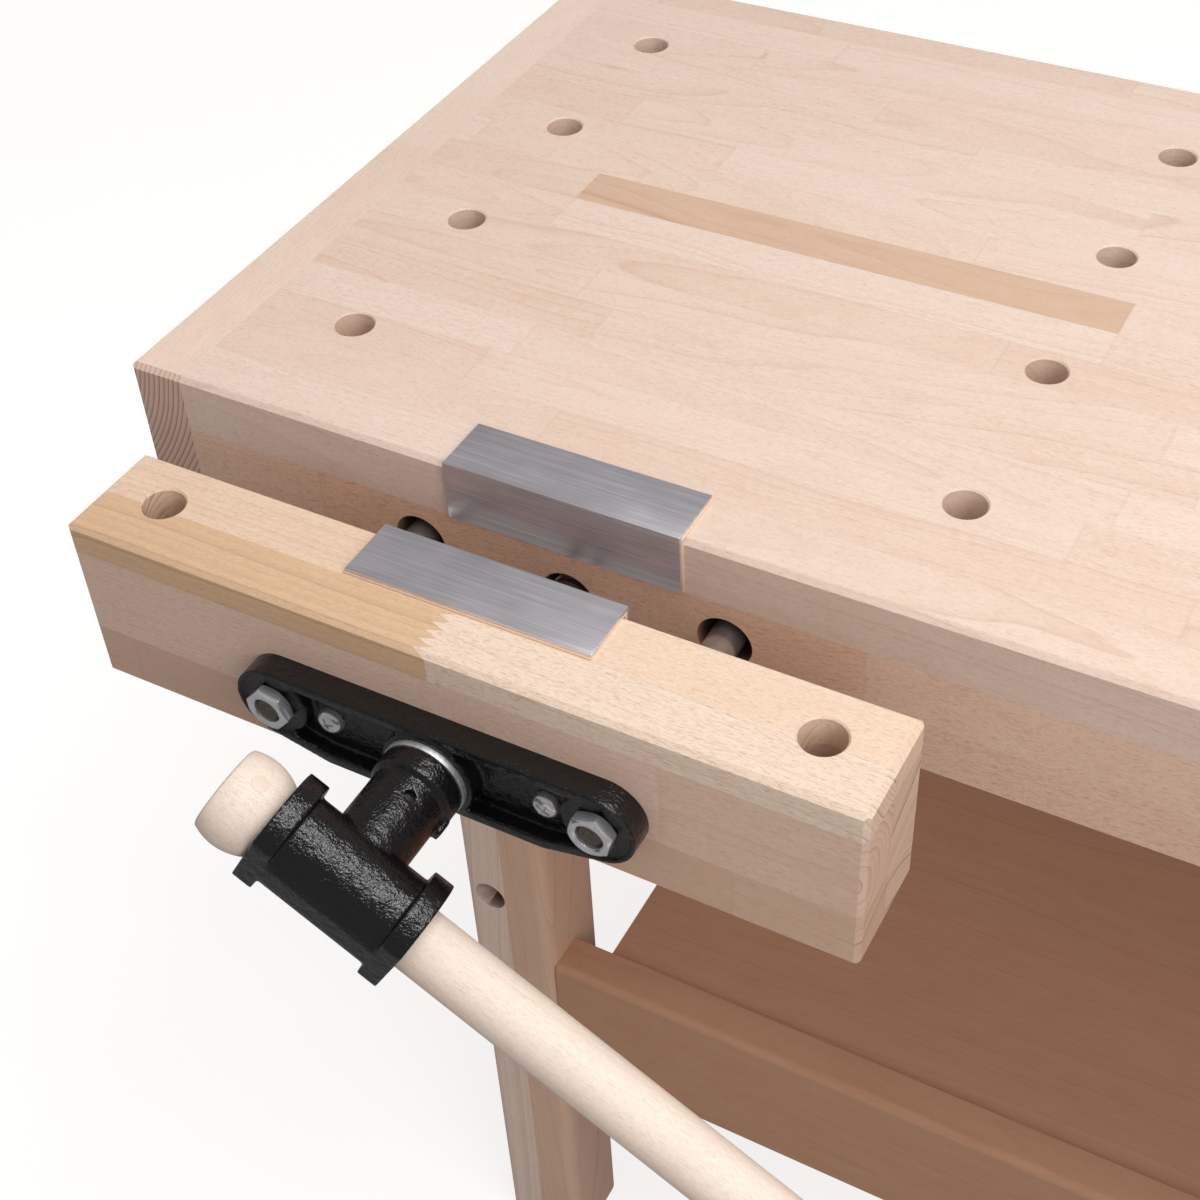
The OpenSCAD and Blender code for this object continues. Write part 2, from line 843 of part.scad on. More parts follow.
module jaw(gap) {
    color("burlywood") translate([0, -gap, 0]) difference() {
        translate([-jaw_l / 2, -jaw_t, -edge_h]) chamfered_block(jaw_l, jaw_t, edge_h, jaw_chamfer);
        both_sides(dog_span / 2) translate([0, jaw_dog_y, 0]) dog_hole(edge_h);
        both_sides(rod_pitch / 2) translate([0, 0, -rod_drop])
            rod_y(rod_d / 2 + pass_clear, -jaw_t - over, over);
        translate([0, 0, -screw_drop]) {
            rod_y(screw_d / 2 + 2 * pass_clear, -jaw_t - over, over);
            rod_y(retainer_pocket_r, -jaw_t - over, retainer_t + over - jaw_t);
        }
        both_sides(bracket_screw_x) translate([0, 0, bracket_screw_up - screw_drop])
            rod_y(bracket_screw_d / 2 + seat_clear, -jaw_t - over, bracket_screw_l - jaw_t);
    }
}

// Point where a line from p touches the circle of radius r about c, on the side given by turn
function tangent_point(p, c, r, turn) =
    let (d = norm(c - p), a = atan2(c[1] - p[1], c[0] - p[0]) + turn * asin(r / d), l = sqrt(d * d - r * r))
    [p[0] + l * cos(a), p[1] + l * sin(a)];

// Outline of the bracket about the lead screw, drawn in X and Z and shrunk by inset
module bracket_outline(inset) {
    rise = screw_drop - rod_drop;
    foot = [bracket_foot_half, screw_drop - bracket_foot_drop + inset];
    eye = [rod_pitch / 2, rise];
    touch = tangent_point(foot, eye, end_r - inset, -1);
    top = rise + end_r - inset;
    for (side = [-1, 1]) translate([side * eye[0], eye[1]]) circle(r = end_r - inset);
    polygon([[-eye[0], top], [-eye[0], rise], [-touch[0], touch[1]], [-foot[0], foot[1]],
        foot, touch, [eye[0], rise], [eye[0], top]]);
}

module outward(from, to) {
    translate([0, -from, 0]) rotate([90, 0, 0]) linear_extrude(to - from) children();
}

module bracket(gap) {
    rise = screw_drop - rod_drop;
    color("#161616") at_screw(gap) difference() {
        union() {
            difference() {
                outward(0, rim_h) bracket_outline(0);
                difference() {
                    outward(floor_t, rim_h + over) bracket_outline(rim_w);
                    both_sides(rod_pitch / 2) translate([0, 0, rise]) rod_y(pad_r, -pad_h, 0);
                }
            }
            rod_y(boss_r, -boss_h, 0);
        }
        rod_y(shank_d / 2 + pass_clear, -boss_h - over, over);
        both_sides(rod_pitch / 2) translate([0, 0, rise])
            rod_y(stud_d / 2 + seat_clear, -rim_h - over, over);
        both_sides(bracket_screw_x) translate([0, 0, bracket_screw_up])
            rod_y(bracket_screw_d / 2 + seat_clear, -rim_h - over, over);
    }
}

module bracket_screws(gap) {
    color("silver") at_screw(gap) both_sides(bracket_screw_x) translate([0, 0, bracket_screw_up]) {
        rod_y(bracket_screw_d / 2, -floor_t, bracket_screw_l - face_gap);
        translate([0, -floor_t, 0]) rotate([90, 0, 0])
            cylinder(r1 = bracket_screw_head_r, r2 = bracket_screw_crown_r, h = bracket_screw_head_h);
    }
}

module guide_rods(gap, reach) {
    stud_l = pad_h + rod_nut_h - stud_short;
    color("silver") at_screw(gap) both_sides(rod_pitch / 2) translate([0, 0, screw_drop - rod_drop]) {
        rod_y(rod_d / 2, 0, gap + jaw_t + reach);
        rod_y(stud_d / 2, -stud_l, 0);
    }
}

module rod_nut(turn) {
    face_slope = (rod_nut_af - rod_nut_face_r) / rod_nut_h;
    rotate([90, 0, 0]) difference() {
        intersection() {
            rotate([0, 0, turn]) hexagon_prism(rod_nut_af, rod_nut_h);
            cylinder(r1 = rod_nut_face_r + face_slope * rod_nut_h, r2 = rod_nut_face_r, h = rod_nut_h);
        }
        translate([0, 0, -over]) cylinder(d = stud_d + 2 * seat_clear, h = rod_nut_h + 2 * over);
    }
}

module rod_nuts(gap) {
    color("gainsboro") at_screw(gap) translate([0, -pad_h, screw_drop - rod_drop]) {
        translate([-rod_pitch / 2, 0, 0]) rod_nut(left_nut_turn);
        translate([rod_pitch / 2, 0, 0]) rod_nut(right_nut_turn);
    }
}

// Cutter for the cross pin, in the frame of the hub
module hub_pin_hole() {
    translate([0, -hub_pin_out, -neck_r - over])
        cylinder(d = hub_pin_d + 2 * seat_clear, h = 2 * (neck_r + over));
}

module lead_screw(gap, angle, reach) {
    thread_start = face_gap + retainer_t;
    thread_end = gap + jaw_t + reach - screw_short;
    color("gray") difference() {
        at_screw(gap) {
            rod_y(shank_d / 2, -hub_start - shank_into_hub, thread_start);
            rod_y(screw_d / 2, thread_start, thread_end - screw_tip_chamfer);
            translate([0, thread_end - screw_tip_chamfer, 0]) rotate([-90, 0, 0])
                cylinder(r1 = screw_d / 2, r2 = screw_d / 2 - screw_tip_chamfer, h = screw_tip_chamfer);
        }
        at_hub(gap, angle) hub_pin_hole();
    }
}

module retaining_collar(gap) {
    color("silver") at_screw(gap)
        ring_y(retainer_r, shank_d / 2 + seat_clear, face_gap, face_gap + retainer_t);
}

module thrust_washer(gap) {
    color("gainsboro") at_screw(gap)
        ring_y(washer_r, shank_d / 2 + seat_clear, -hub_start, -hub_start + washer_t);
}

module hub(gap, angle) {
    color("#161616") at_hub(gap, angle) difference() {
        union() {
            rod_y(collar_r, -hub_start - collar_l, -hub_start);
            rod_y(neck_r, -barrel_out, -hub_start);
            translate([0, -barrel_out, 0]) {
                rod_x(barrel_r, -barrel_l / 2, barrel_l / 2);
                rod_x(flange_r, -barrel_l / 2, flange_w - barrel_l / 2);
                rod_x(flange_r, barrel_l / 2 - flange_w, barrel_l / 2);
            }
            translate([0, -lug_start - lug_l, -lug_w / 2]) cube([lug_reach, lug_l, lug_w]);
        }
        translate([0, -barrel_out, 0]) {
            rod_x(bar_d / 2 + bar_clear, -barrel_l, barrel_l);
            translate([-barrel_l, -barrel_flat - flange_r, -flange_r])
                cube([2 * barrel_l, flange_r, 2 * flange_r]);
        }
        rod_y(shank_d / 2 + seat_clear, -hub_start - shank_into_hub - face_gap, over);
        hub_pin_hole();
    }
}

module hub_pin(gap, angle) {
    color("silver") at_hub(gap, angle) translate([0, -hub_pin_out, hub_pin_sink - neck_r])
        cylinder(d = hub_pin_d, h = 2 * (neck_r - hub_pin_sink));
}

// Inner face of a knob, with X pointing into the knob. The upper knob lies on the hub's flange.
module at_upper_knob(gap, angle) {
    at_hub(gap, angle) translate([-handle_start, -barrel_out, 0]) mirror([1, 0, 0]) children();
}

module at_lower_knob(gap, angle) {
    at_hub(gap, angle) translate([bar_l - handle_start, -barrel_out, 0]) children();
}

module knob_pin_hole() {
    translate([knob_l * knob_pin_share, 0, -knob_r - over])
        cylinder(d = knob_pin_d + 2 * seat_clear, h = 2 * (knob_r + over));
}

module handle_bar(gap, angle) {
    color("wheat") difference() {
        at_hub(gap, angle) translate([0, -barrel_out, 0]) {
            rod_x(bar_d / 2, -handle_start, bar_l - handle_start);
            rod_x(bar_tenon_d / 2, -handle_start - bar_tenon_l, bar_l - handle_start + bar_tenon_l);
        }
        at_upper_knob(gap, angle) knob_pin_hole();
        at_lower_knob(gap, angle) knob_pin_hole();
    }
}

// Radius of a knob at the share t of its length: a parabola through its three measured radii
function knob_curve(t) =
    knob_inner_r * (t - knob_belly_share) * (t - 1) / knob_belly_share
    + knob_r * t * (t - 1) / (knob_belly_share * (knob_belly_share - 1))
    + knob_outer_r * t * (t - knob_belly_share) / (1 - knob_belly_share);

module knob() {
    body_l = knob_l - knob_dome_h;
    side = [for (i = [0 : knob_steps]) [knob_curve(i / knob_steps), body_l * i / knob_steps]];
    difference() {
        rotate([0, 90, 0]) rotate_extrude() polygon(concat([[0, 0]], side,
            [[knob_outer_r - 2 * knob_dome_h, knob_l], [0, knob_l]]));
        rod_x(bar_tenon_d / 2 + seat_clear, -over, bar_tenon_l + face_gap);
        knob_pin_hole();
    }
}

module upper_knob(gap, angle) {
    color("wheat") at_upper_knob(gap, angle) knob();
}

module lower_knob(gap, angle) {
    color("wheat") at_lower_knob(gap, angle) knob();
}

module knob_pin() {
    half = knob_curve(knob_pin_share) - knob_pin_sink;
    translate([knob_l * knob_pin_share, 0, -half]) cylinder(d = knob_pin_d, h = 2 * half);
}

module knob_pins(gap, angle) {
    color("tan") {
        at_upper_knob(gap, angle) knob_pin();
        at_lower_knob(gap, angle) knob_pin();
    }
}

// Nodes

top_board_front();
top_board_middle();
top_board_rear();
front_apron();
rear_apron();
left_end_cap();
right_end_cap();
end_cap_bolts();
front_left_leg();
front_right_leg();
rear_left_leg();
rear_right_leg();
left_head_rail();
right_head_rail();
left_low_rail();
right_low_rail();
front_stretcher();
rear_stretcher();
stretcher_bolts();
barrel_nuts();
top_pegs();
shelf();
shelf_battens();
nut_blocks();
nut_block_screws();
lead_nuts();
guide_bushes();
bench_cap();
bench_cap_lining();
jaw_cap();
jaw_cap_lining();
at_front_vise() jaw(front_gap);  // front_jaw
at_front_vise() bracket(front_gap);  // front_bracket
at_front_vise() bracket_screws(front_gap);  // front_bracket_screws
at_front_vise() guide_rods(front_gap, front_reach);  // front_guide_rods
at_front_vise() rod_nuts(front_gap);  // front_rod_nuts
at_front_vise() lead_screw(front_gap, front_handle_angle, front_reach);  // front_lead_screw
at_front_vise() retaining_collar(front_gap);  // front_retaining_collar
at_front_vise() thrust_washer(front_gap);  // front_thrust_washer
at_front_vise() hub(front_gap, front_handle_angle);  // front_hub
at_front_vise() hub_pin(front_gap, front_handle_angle);  // front_hub_pin
at_front_vise() handle_bar(front_gap, front_handle_angle);  // front_handle_bar
at_front_vise() upper_knob(front_gap, front_handle_angle);  // front_upper_knob
at_front_vise() lower_knob(front_gap, front_handle_angle);  // front_lower_knob
at_front_vise() knob_pins(front_gap, front_handle_angle);  // front_knob_pins
at_tail_vise() jaw(tail_gap);  // tail_jaw
at_tail_vise() bracket(tail_gap);  // tail_bracket
at_tail_vise() bracket_screws(tail_gap);  // tail_bracket_screws
at_tail_vise() guide_rods(tail_gap, tail_reach);  // tail_guide_rods
at_tail_vise() rod_nuts(tail_gap);  // tail_rod_nuts
at_tail_vise() lead_screw(tail_gap, tail_handle_angle, tail_reach);  // tail_lead_screw
at_tail_vise() retaining_collar(tail_gap);  // tail_retaining_collar
at_tail_vise() thrust_washer(tail_gap);  // tail_thrust_washer
at_tail_vise() hub(tail_gap, tail_handle_angle);  // tail_hub
at_tail_vise() hub_pin(tail_gap, tail_handle_angle);  // tail_hub_pin
at_tail_vise() handle_bar(tail_gap, tail_handle_angle);  // tail_handle_bar
at_tail_vise() upper_knob(tail_gap, tail_handle_angle);  // tail_upper_knob
at_tail_vise() lower_knob(tail_gap, tail_handle_angle);  // tail_lower_knob
at_tail_vise() knob_pins(tail_gap, tail_handle_angle);  // tail_knob_pins
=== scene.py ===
import json
import math

import bpy
from mathutils import Matrix, Vector


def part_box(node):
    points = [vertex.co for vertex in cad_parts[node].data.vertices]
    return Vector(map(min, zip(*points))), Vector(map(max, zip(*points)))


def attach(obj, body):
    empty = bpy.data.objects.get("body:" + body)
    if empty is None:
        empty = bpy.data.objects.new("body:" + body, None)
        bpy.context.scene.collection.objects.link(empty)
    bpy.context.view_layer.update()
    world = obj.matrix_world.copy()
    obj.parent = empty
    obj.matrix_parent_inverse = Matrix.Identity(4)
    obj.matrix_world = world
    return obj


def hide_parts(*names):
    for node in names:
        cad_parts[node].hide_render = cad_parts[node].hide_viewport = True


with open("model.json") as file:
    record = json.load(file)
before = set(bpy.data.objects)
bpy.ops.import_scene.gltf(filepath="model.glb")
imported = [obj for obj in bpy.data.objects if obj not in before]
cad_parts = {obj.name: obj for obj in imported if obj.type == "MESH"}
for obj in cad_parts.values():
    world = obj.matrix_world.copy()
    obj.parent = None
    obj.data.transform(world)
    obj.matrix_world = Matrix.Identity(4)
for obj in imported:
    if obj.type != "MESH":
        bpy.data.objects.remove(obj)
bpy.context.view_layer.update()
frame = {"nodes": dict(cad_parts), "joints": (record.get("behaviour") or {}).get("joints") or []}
nodes = frame["nodes"]
mm = 0.001

# The camera stands where the photographer stood: in front of the left end, above the vise,
# looking down and to the left. Its place is measured from the top's front left corner.
corner_low, corner_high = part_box("left_end_cap")
bench_left, bench_front, bench_top = corner_low.x, corner_low.y, corner_high.z
camera_from_corner = Vector((0.7339, -0.6809, 0.6771))
camera_heading, camera_dip, camera_roll = 30.976, 43.109, -3.528
camera_lens, camera_film = 57.14, 36.0


def turn(axis, degrees):
    """A rotation about one of the axes of the frame."""
    return Matrix.Rotation(math.radians(degrees), 4, axis)


bpy.ops.object.select_all(action="DESELECT")
bpy.ops.object.camera_add()
camera = bpy.context.active_object
camera.data.lens = camera_lens
camera.data.sensor_width = camera_film
camera.matrix_world = (
    Matrix.Translation(Vector((bench_left, bench_front, bench_top)) + camera_from_corner)
    @ turn("Z", camera_heading) @ turn("X", 90 - camera_dip) @ turn("Z", camera_roll)
)
bpy.context.scene.camera = camera

# The studio: one large soft box high above the right part of the bench, a weaker one at the
# front right, and a pale surround that lights the shadows a little warmly. Gloss paint and bare
# metal mirror the surround weakly, and the weaker lamp not at all.
surround_light, surround_tint, mirrored = 0.48, (1.0, 0.93, 0.87, 1), 0.25
white = (1, 1, 1, 1)
key_size, key_power = 1.5, 48.0
key_place, key_target = Vector((0.60, 0.0, 3.3)), Vector((-0.2, -0.1, 0.85))
fill_size, fill_power = 1.0, 12.0
fill_place, fill_target = Vector((0.8, -1.2, 1.75)), Vector((-0.1, -0.2, 0.75))


def link(tree, kind, sockets=None, **settings):
    """A shader node with its settings, and each input socket set to a value or joined to an output."""
    made = tree.nodes.new("ShaderNode" + kind)
    for name, value in settings.items():
        setattr(made, name, value)
    for name, value in (sockets or {}).items():
        if isinstance(value, bpy.types.NodeSocket):
            tree.links.new(value, made.inputs[name])
        else:
            made.inputs[name].default_value = value
    return made


def calc(tree, operation, a, b=0.0, c=0.0):
    """The result of one sum on numbers or sockets."""
    return link(tree, "Math", {0: a, 1: b, 2: c}, operation=operation).outputs[0]


def times(tree, a, b):
    """The product of two numbers or sockets."""
    return calc(tree, "MULTIPLY", a, b)


def seen_white(tree):
    """How white the surround is: fully to the camera and through glass, and weaker in reflections."""
    path = link(tree, "LightPath")
    straight = calc(tree, "MAXIMUM", path.outputs["Is Camera Ray"], path.outputs["Is Transmission Ray"])
    weakened = times(tree, path.outputs["Is Glossy Ray"], mirrored)
    return calc(tree, "MAXIMUM", straight, weakened)


def soft_box(name, place, target, size, power, in_reflections=True):
    """A square lamp that faces its target."""
    bpy.ops.object.light_add(type="AREA", location=place)
    lamp = bpy.context.active_object
    lamp.name = name
    lamp.data.size = size
    lamp.data.energy = power
    lamp.rotation_euler = (target - place).to_track_quat("-Z", "Y").to_euler()
    lamp.visible_glossy = in_reflections


world = bpy.data.worlds.new("studio")
bpy.context.scene.world = world
world.use_nodes = True
sky = world.node_tree
sky.nodes.clear()
seen = seen_white(sky)
shown = calc(sky, "GREATER_THAN", seen, 0.0)
strength = calc(sky, "ADD", seen, calc(sky, "MULTIPLY_ADD", shown, -surround_light, surround_light))
sky_colour = link(sky, "MixRGB", {"Fac": shown, "Color1": surround_tint, "Color2": white}).outputs[0]
surround = link(sky, "Background", {"Color": sky_colour, "Strength": strength})
link(sky, "OutputWorld", {"Surface": surround.outputs[0]})
soft_box("key_light", key_place, key_target, key_size, key_power)
soft_box("fill_light", fill_place, fill_target, fill_size, fill_power, in_reflections=False)
bpy.context.scene.view_settings.view_transform = "Standard"

# The floor of the studio: a wide pale sheet that keeps the bench's soft shadow.
floor_size, floor_tone, floor_glow = 24.0, 0.42, 0.74

bpy.ops.mesh.primitive_plane_add(size=floor_size)
floor = bpy.context.active_object
floor.name = "studio_floor"
paper = bpy.data.materials.new("studio_paper")
paper.use_nodes = True
tree = paper.node_tree
tree.nodes.clear()
reflected = link(tree, "LightPath").outputs["Is Glossy Ray"]
tone = calc(tree, "MULTIPLY_ADD", reflected, floor_tone * (mirrored - 1), floor_tone)
matte = link(tree, "BsdfDiffuse", {"Color": tone})
strength = times(tree, seen_white(tree), floor_glow)
glow = link(tree, "Emission", {"Color": white, "Strength": strength})
sheet = link(tree, "AddShader", {0: matte.outputs[0], 1: glow.outputs[0]})
link(tree, "OutputMaterial", {"Surface": sheet.outputs[0]})
floor.data.materials.append(paper)

# Beech, as every wooden piece here is: pale, close and even, with thin brown ring lines and
# short dark ray flecks. The figure is solid, so faces, ends and hole walls show one piece of wood.
ring_gap_spread = 0.6
ring_darkness = [(0.0, 0.15), (0.05, 0.0), (0.50, 0.10), (0.82, 0.38), (0.94, 1.0), (1.0, 0.15)]
slow_bend, quick_bend = 16.0, 2.2
ray_size, dash_size = (3.2, 0.38), (6.0, 0.62)
streak_size, mottle_size = (70.0, 0.9), (34.0, 13.0)
slow_size, quick_size, lean_spread = (210, 70), (60, 16), 0.11
second_draw, stave_shift = (17.3, 5.1, 9.7), (913, 377, 551)
# The walls of bored holes get painted shade that deepens inwards over a depth to a near-black colour.
fine_relief, hole_shade_depth, painted_hole_shade = 0.1 * mm, 40.0, (0.01, 0.007, 0.005, 1)


def vector_calc(tree, operation, a, b=(0, 0, 0)):
    """The result of one sum on points."""
    made = link(tree, "VectorMath", {0: a, 1: b}, operation=operation)
    return made.outputs["Value" if operation == "LENGTH" else "Vector"]


def ramp(tree, factor, stops, blend="LINEAR"):
    """The colour of a ramp of (share, colour) stops."""
    made = link(tree, "ValToRGB", {"Fac": factor})
    made.color_ramp.interpolation = blend
    while len(made.color_ramp.elements) < len(stops):
        made.color_ramp.elements.new(1.0)
    for element, (share, colour) in zip(made.color_ramp.elements, stops):
        element.position = share
        element.color = colour if hasattr(colour, "__len__") else (colour, colour, colour, 1)
    return made.outputs["Color"]


def mix(tree, factor, a, b, blend="MIX"):
    """Two colours mixed."""
    made = link(tree, "MixRGB", {"Fac": factor, "Color1": a, "Color2": b}, blend_type=blend)
    return made.outputs["Color"]


def parts(tree, vector):
    """The three numbers of a point."""
    return link(tree, "SeparateXYZ", {0: vector}).outputs


def join(tree, x, y, z):
    """A point from three numbers."""
    return link(tree, "CombineXYZ", {0: x, 1: y, 2: z}).outputs[0]


def spread(tree, value, width):
    """A random share from zero to one, moved to lie about zero over this width."""
    return times(tree, calc(tree, "SUBTRACT", value, 0.5), width)


def cloud(tree, point, size, detail=1.0):
    """Noise whose blots are this long along the grain and this wide across it."""
    long, wide = size
    scaled = vector_calc(tree, "MULTIPLY", point, (1 / long, 1 / wide, 1 / wide))
    return link(tree, "TexNoise", {"Vector": scaled, "Scale": 1.0, "Detail": detail})


def figure_group():
    """The figure of one beech stave, as a group of nodes: X runs along the grain, in millimetres."""
    tree = bpy.data.node_groups.new("beech_figure", "ShaderNodeTree")
    for names, kind in ((("Point", "Stave", "Pith"), "Vector"),
                        (("Wander", "Bend", "Gap", "Even", "Figure", "Fleck", "Tone"), "Float")):
        for name in names:
            tree.interface.new_socket(name, in_out="INPUT", socket_type="NodeSocket" + kind)
    for name in ("Tint", "Line", "Speck", "Height"):
        tree.interface.new_socket(name, in_out="OUTPUT", socket_type="NodeSocketFloat")
    given = tree.nodes.new("NodeGroupInput").outputs
    stave = given["Stave"]
    first = link(tree, "TexWhiteNoise", {"Vector": stave}, noise_dimensions="3D")
    other = link(tree, "TexWhiteNoise", {"Vector": vector_calc(tree, "ADD", stave, second_draw)},
                 noise_dimensions="3D")
    place_y, place_z, lean = parts(tree, first.outputs["Color"])
    rise, gap_share, fleck_share = parts(tree, other.outputs["Color"])
    x, y, z = parts(tree, given["Point"])
    leaning = calc(tree, "MULTIPLY_ADD", x, spread(tree, lean, lean_spread), y)
    rising = calc(tree, "MULTIPLY_ADD", x, spread(tree, rise, lean_spread), z)
    shifted = vector_calc(tree, "ADD", join(tree, x, leaning, rising),
                          vector_calc(tree, "MULTIPLY", stave, stave_shift))

    slow = parts(tree, cloud(tree, shifted, slow_size).outputs["Color"])
    quick = parts(tree, cloud(tree, shifted, quick_size, 2.0).outputs["Color"])
    pith = parts(tree, given["Pith"])
    from_pith = []
    for number, (axis, share) in enumerate(((leaning, place_y), (rising, place_z))):
        bend = calc(tree, "MULTIPLY_ADD", spread(tree, quick[number], 1.0), quick_bend,
                    spread(tree, slow[number], slow_bend))
        centre = calc(tree, "MULTIPLY_ADD", spread(tree, share, 1.0), given["Wander"], pith[number + 1])
        bent = calc(tree, "MULTIPLY_ADD", bend, given["Bend"], axis)
        from_pith.append(calc(tree, "SUBTRACT", bent, centre))
    radius = vector_calc(tree, "LENGTH", join(tree, 0.0, *from_pith))
    gap_scale = calc(tree, "ADD", 1.0, spread(tree, gap_share, ring_gap_spread))
    gap = times(tree, given["Gap"], gap_scale)
    outwards = times(tree, radius, 0.11)
    uneven = link(tree, "TexNoise", {"W": outwards, "Scale": 1.0, "Detail": 1.0}, noise_dimensions="1D")
    swing = calc(tree, "MULTIPLY_ADD", given["Even"], -2.6, 2.4)
    ring = calc(tree, "MULTIPLY_ADD", uneven.outputs["Fac"], swing, calc(tree, "DIVIDE", radius, gap))
    each_ring = link(tree, "TexWhiteNoise", {"Vector": stave, "W": calc(tree, "FLOOR", ring)},
                     noise_dimensions="4D").outputs["Value"]
    late = ramp(tree, calc(tree, "FRACT", ring), ring_darkness)
    strength = calc(tree, "MULTIPLY_ADD", calc(tree, "POWER", each_ring, 2.0), 0.75, 0.25)
    strength = calc(tree, "MAXIMUM", strength, given["Even"])
    line = times(tree, times(tree, late, strength), given["Figure"])

    rays = ramp(tree, cloud(tree, shifted, ray_size).outputs["Fac"], [(0.50, 0.0), (0.64, 1.0)])
    dashes = ramp(tree, cloud(tree, shifted, dash_size).outputs["Fac"], [(0.56, 0.0), (0.66, 1.0)])
    flecked = calc(tree, "MULTIPLY_ADD", fleck_share, 0.4, 0.6)
    speck = calc(tree, "MULTIPLY_ADD", times(tree, dashes, flecked), 0.55,
                 times(tree, rays, 0.40))
    speck = times(tree, speck, given["Fleck"])

    streaks = cloud(tree, shifted, streak_size, 2.0).outputs["Fac"]
    mottle = cloud(tree, shifted, mottle_size, 3.0).outputs["Fac"]
    clouds = calc(tree, "ADD", spread(tree, mottle, 1.1), spread(tree, slow[2], 0.4))
    tint = calc(tree, "MULTIPLY_ADD", first.outputs["Value"], given["Tone"],
                calc(tree, "ADD", clouds, spread(tree, streaks, 0.55)))
    height = calc(tree, "SUBTRACT", times(tree, streaks, 0.5), calc(tree, "ADD", speck, line))
    out = tree.nodes.new("NodeGroupOutput")
    for name, socket in (("Tint", tint), ("Line", line), ("Speck", speck), ("Height", height)):
        tree.links.new(socket, out.inputs[name])
    return tree


beech_figure = figure_group()


def new_material(name):
    """An empty material and its tree of nodes."""
    made = bpy.data.materials.new(name)
    made.use_nodes = True
    made.node_tree.nodes.clear()
    return made, made.node_tree


def relief(tree, height, strength, depth):
    """A normal tilted by a relief of this height, as deep as this in metres."""
    return link(tree, "Bump", {"Height": height, "Strength": strength, "Distance": depth}).outputs[0]


def finish_material(tree, sockets):
    """The surface shader of a material."""
    surface = link(tree, "BsdfPrincipled", sockets)
    link(tree, "OutputMaterial", {"Surface": surface.outputs[0]})


def in_piece(tree, place, output="Object"):
    """A point in millimetres, or a normal, in the frame of a piece that sits at this place."""
    given = link(tree, "TexCoord").outputs[output]
    made = link(tree, "Mapping", {"Vector": given}, vector_type="TEXTURE")
    made.inputs["Rotation"].default_value = place.to_euler()
    if output == "Object":
        made.inputs["Location"].default_value = place.translation
        made.inputs["Scale"].default_value = (mm, mm, mm)
    return made.outputs[0]


def colour_of(tree, number, colours):
    """The colour that stands at this place of a list."""
    if len(colours) == 1:
        return (*colours[0], 1)
    share = calc(tree, "DIVIDE", calc(tree, "ADD", number, 0.5), float(len(colours)))
    stops = [(place / len(colours), (*colour, 1)) for place, colour in enumerate(colours)]
    return ramp(tree, share, stops, "CONSTANT")


def value_of(tree, number, values):
    """The value that stands at this place of a list."""
    least, most = min(values), max(values)
    if least == most:
        return float(least)
    shares = [[(value - least) / (most - least)] * 3 for value in values]
    return calc(tree, "MULTIPLY_ADD", colour_of(tree, number, shares), float(most - least), float(least))


def glued(tree, seam, along, line):
    """The seams with one more glue line, where this coordinate has this value."""
    near = calc(tree, "ABSOLUTE", calc(tree, "SUBTRACT", along, line))
    return calc(tree, "MAXIMUM", seam, ramp(tree, near, [(0.1, 1.0), (0.35, 0.0)]))


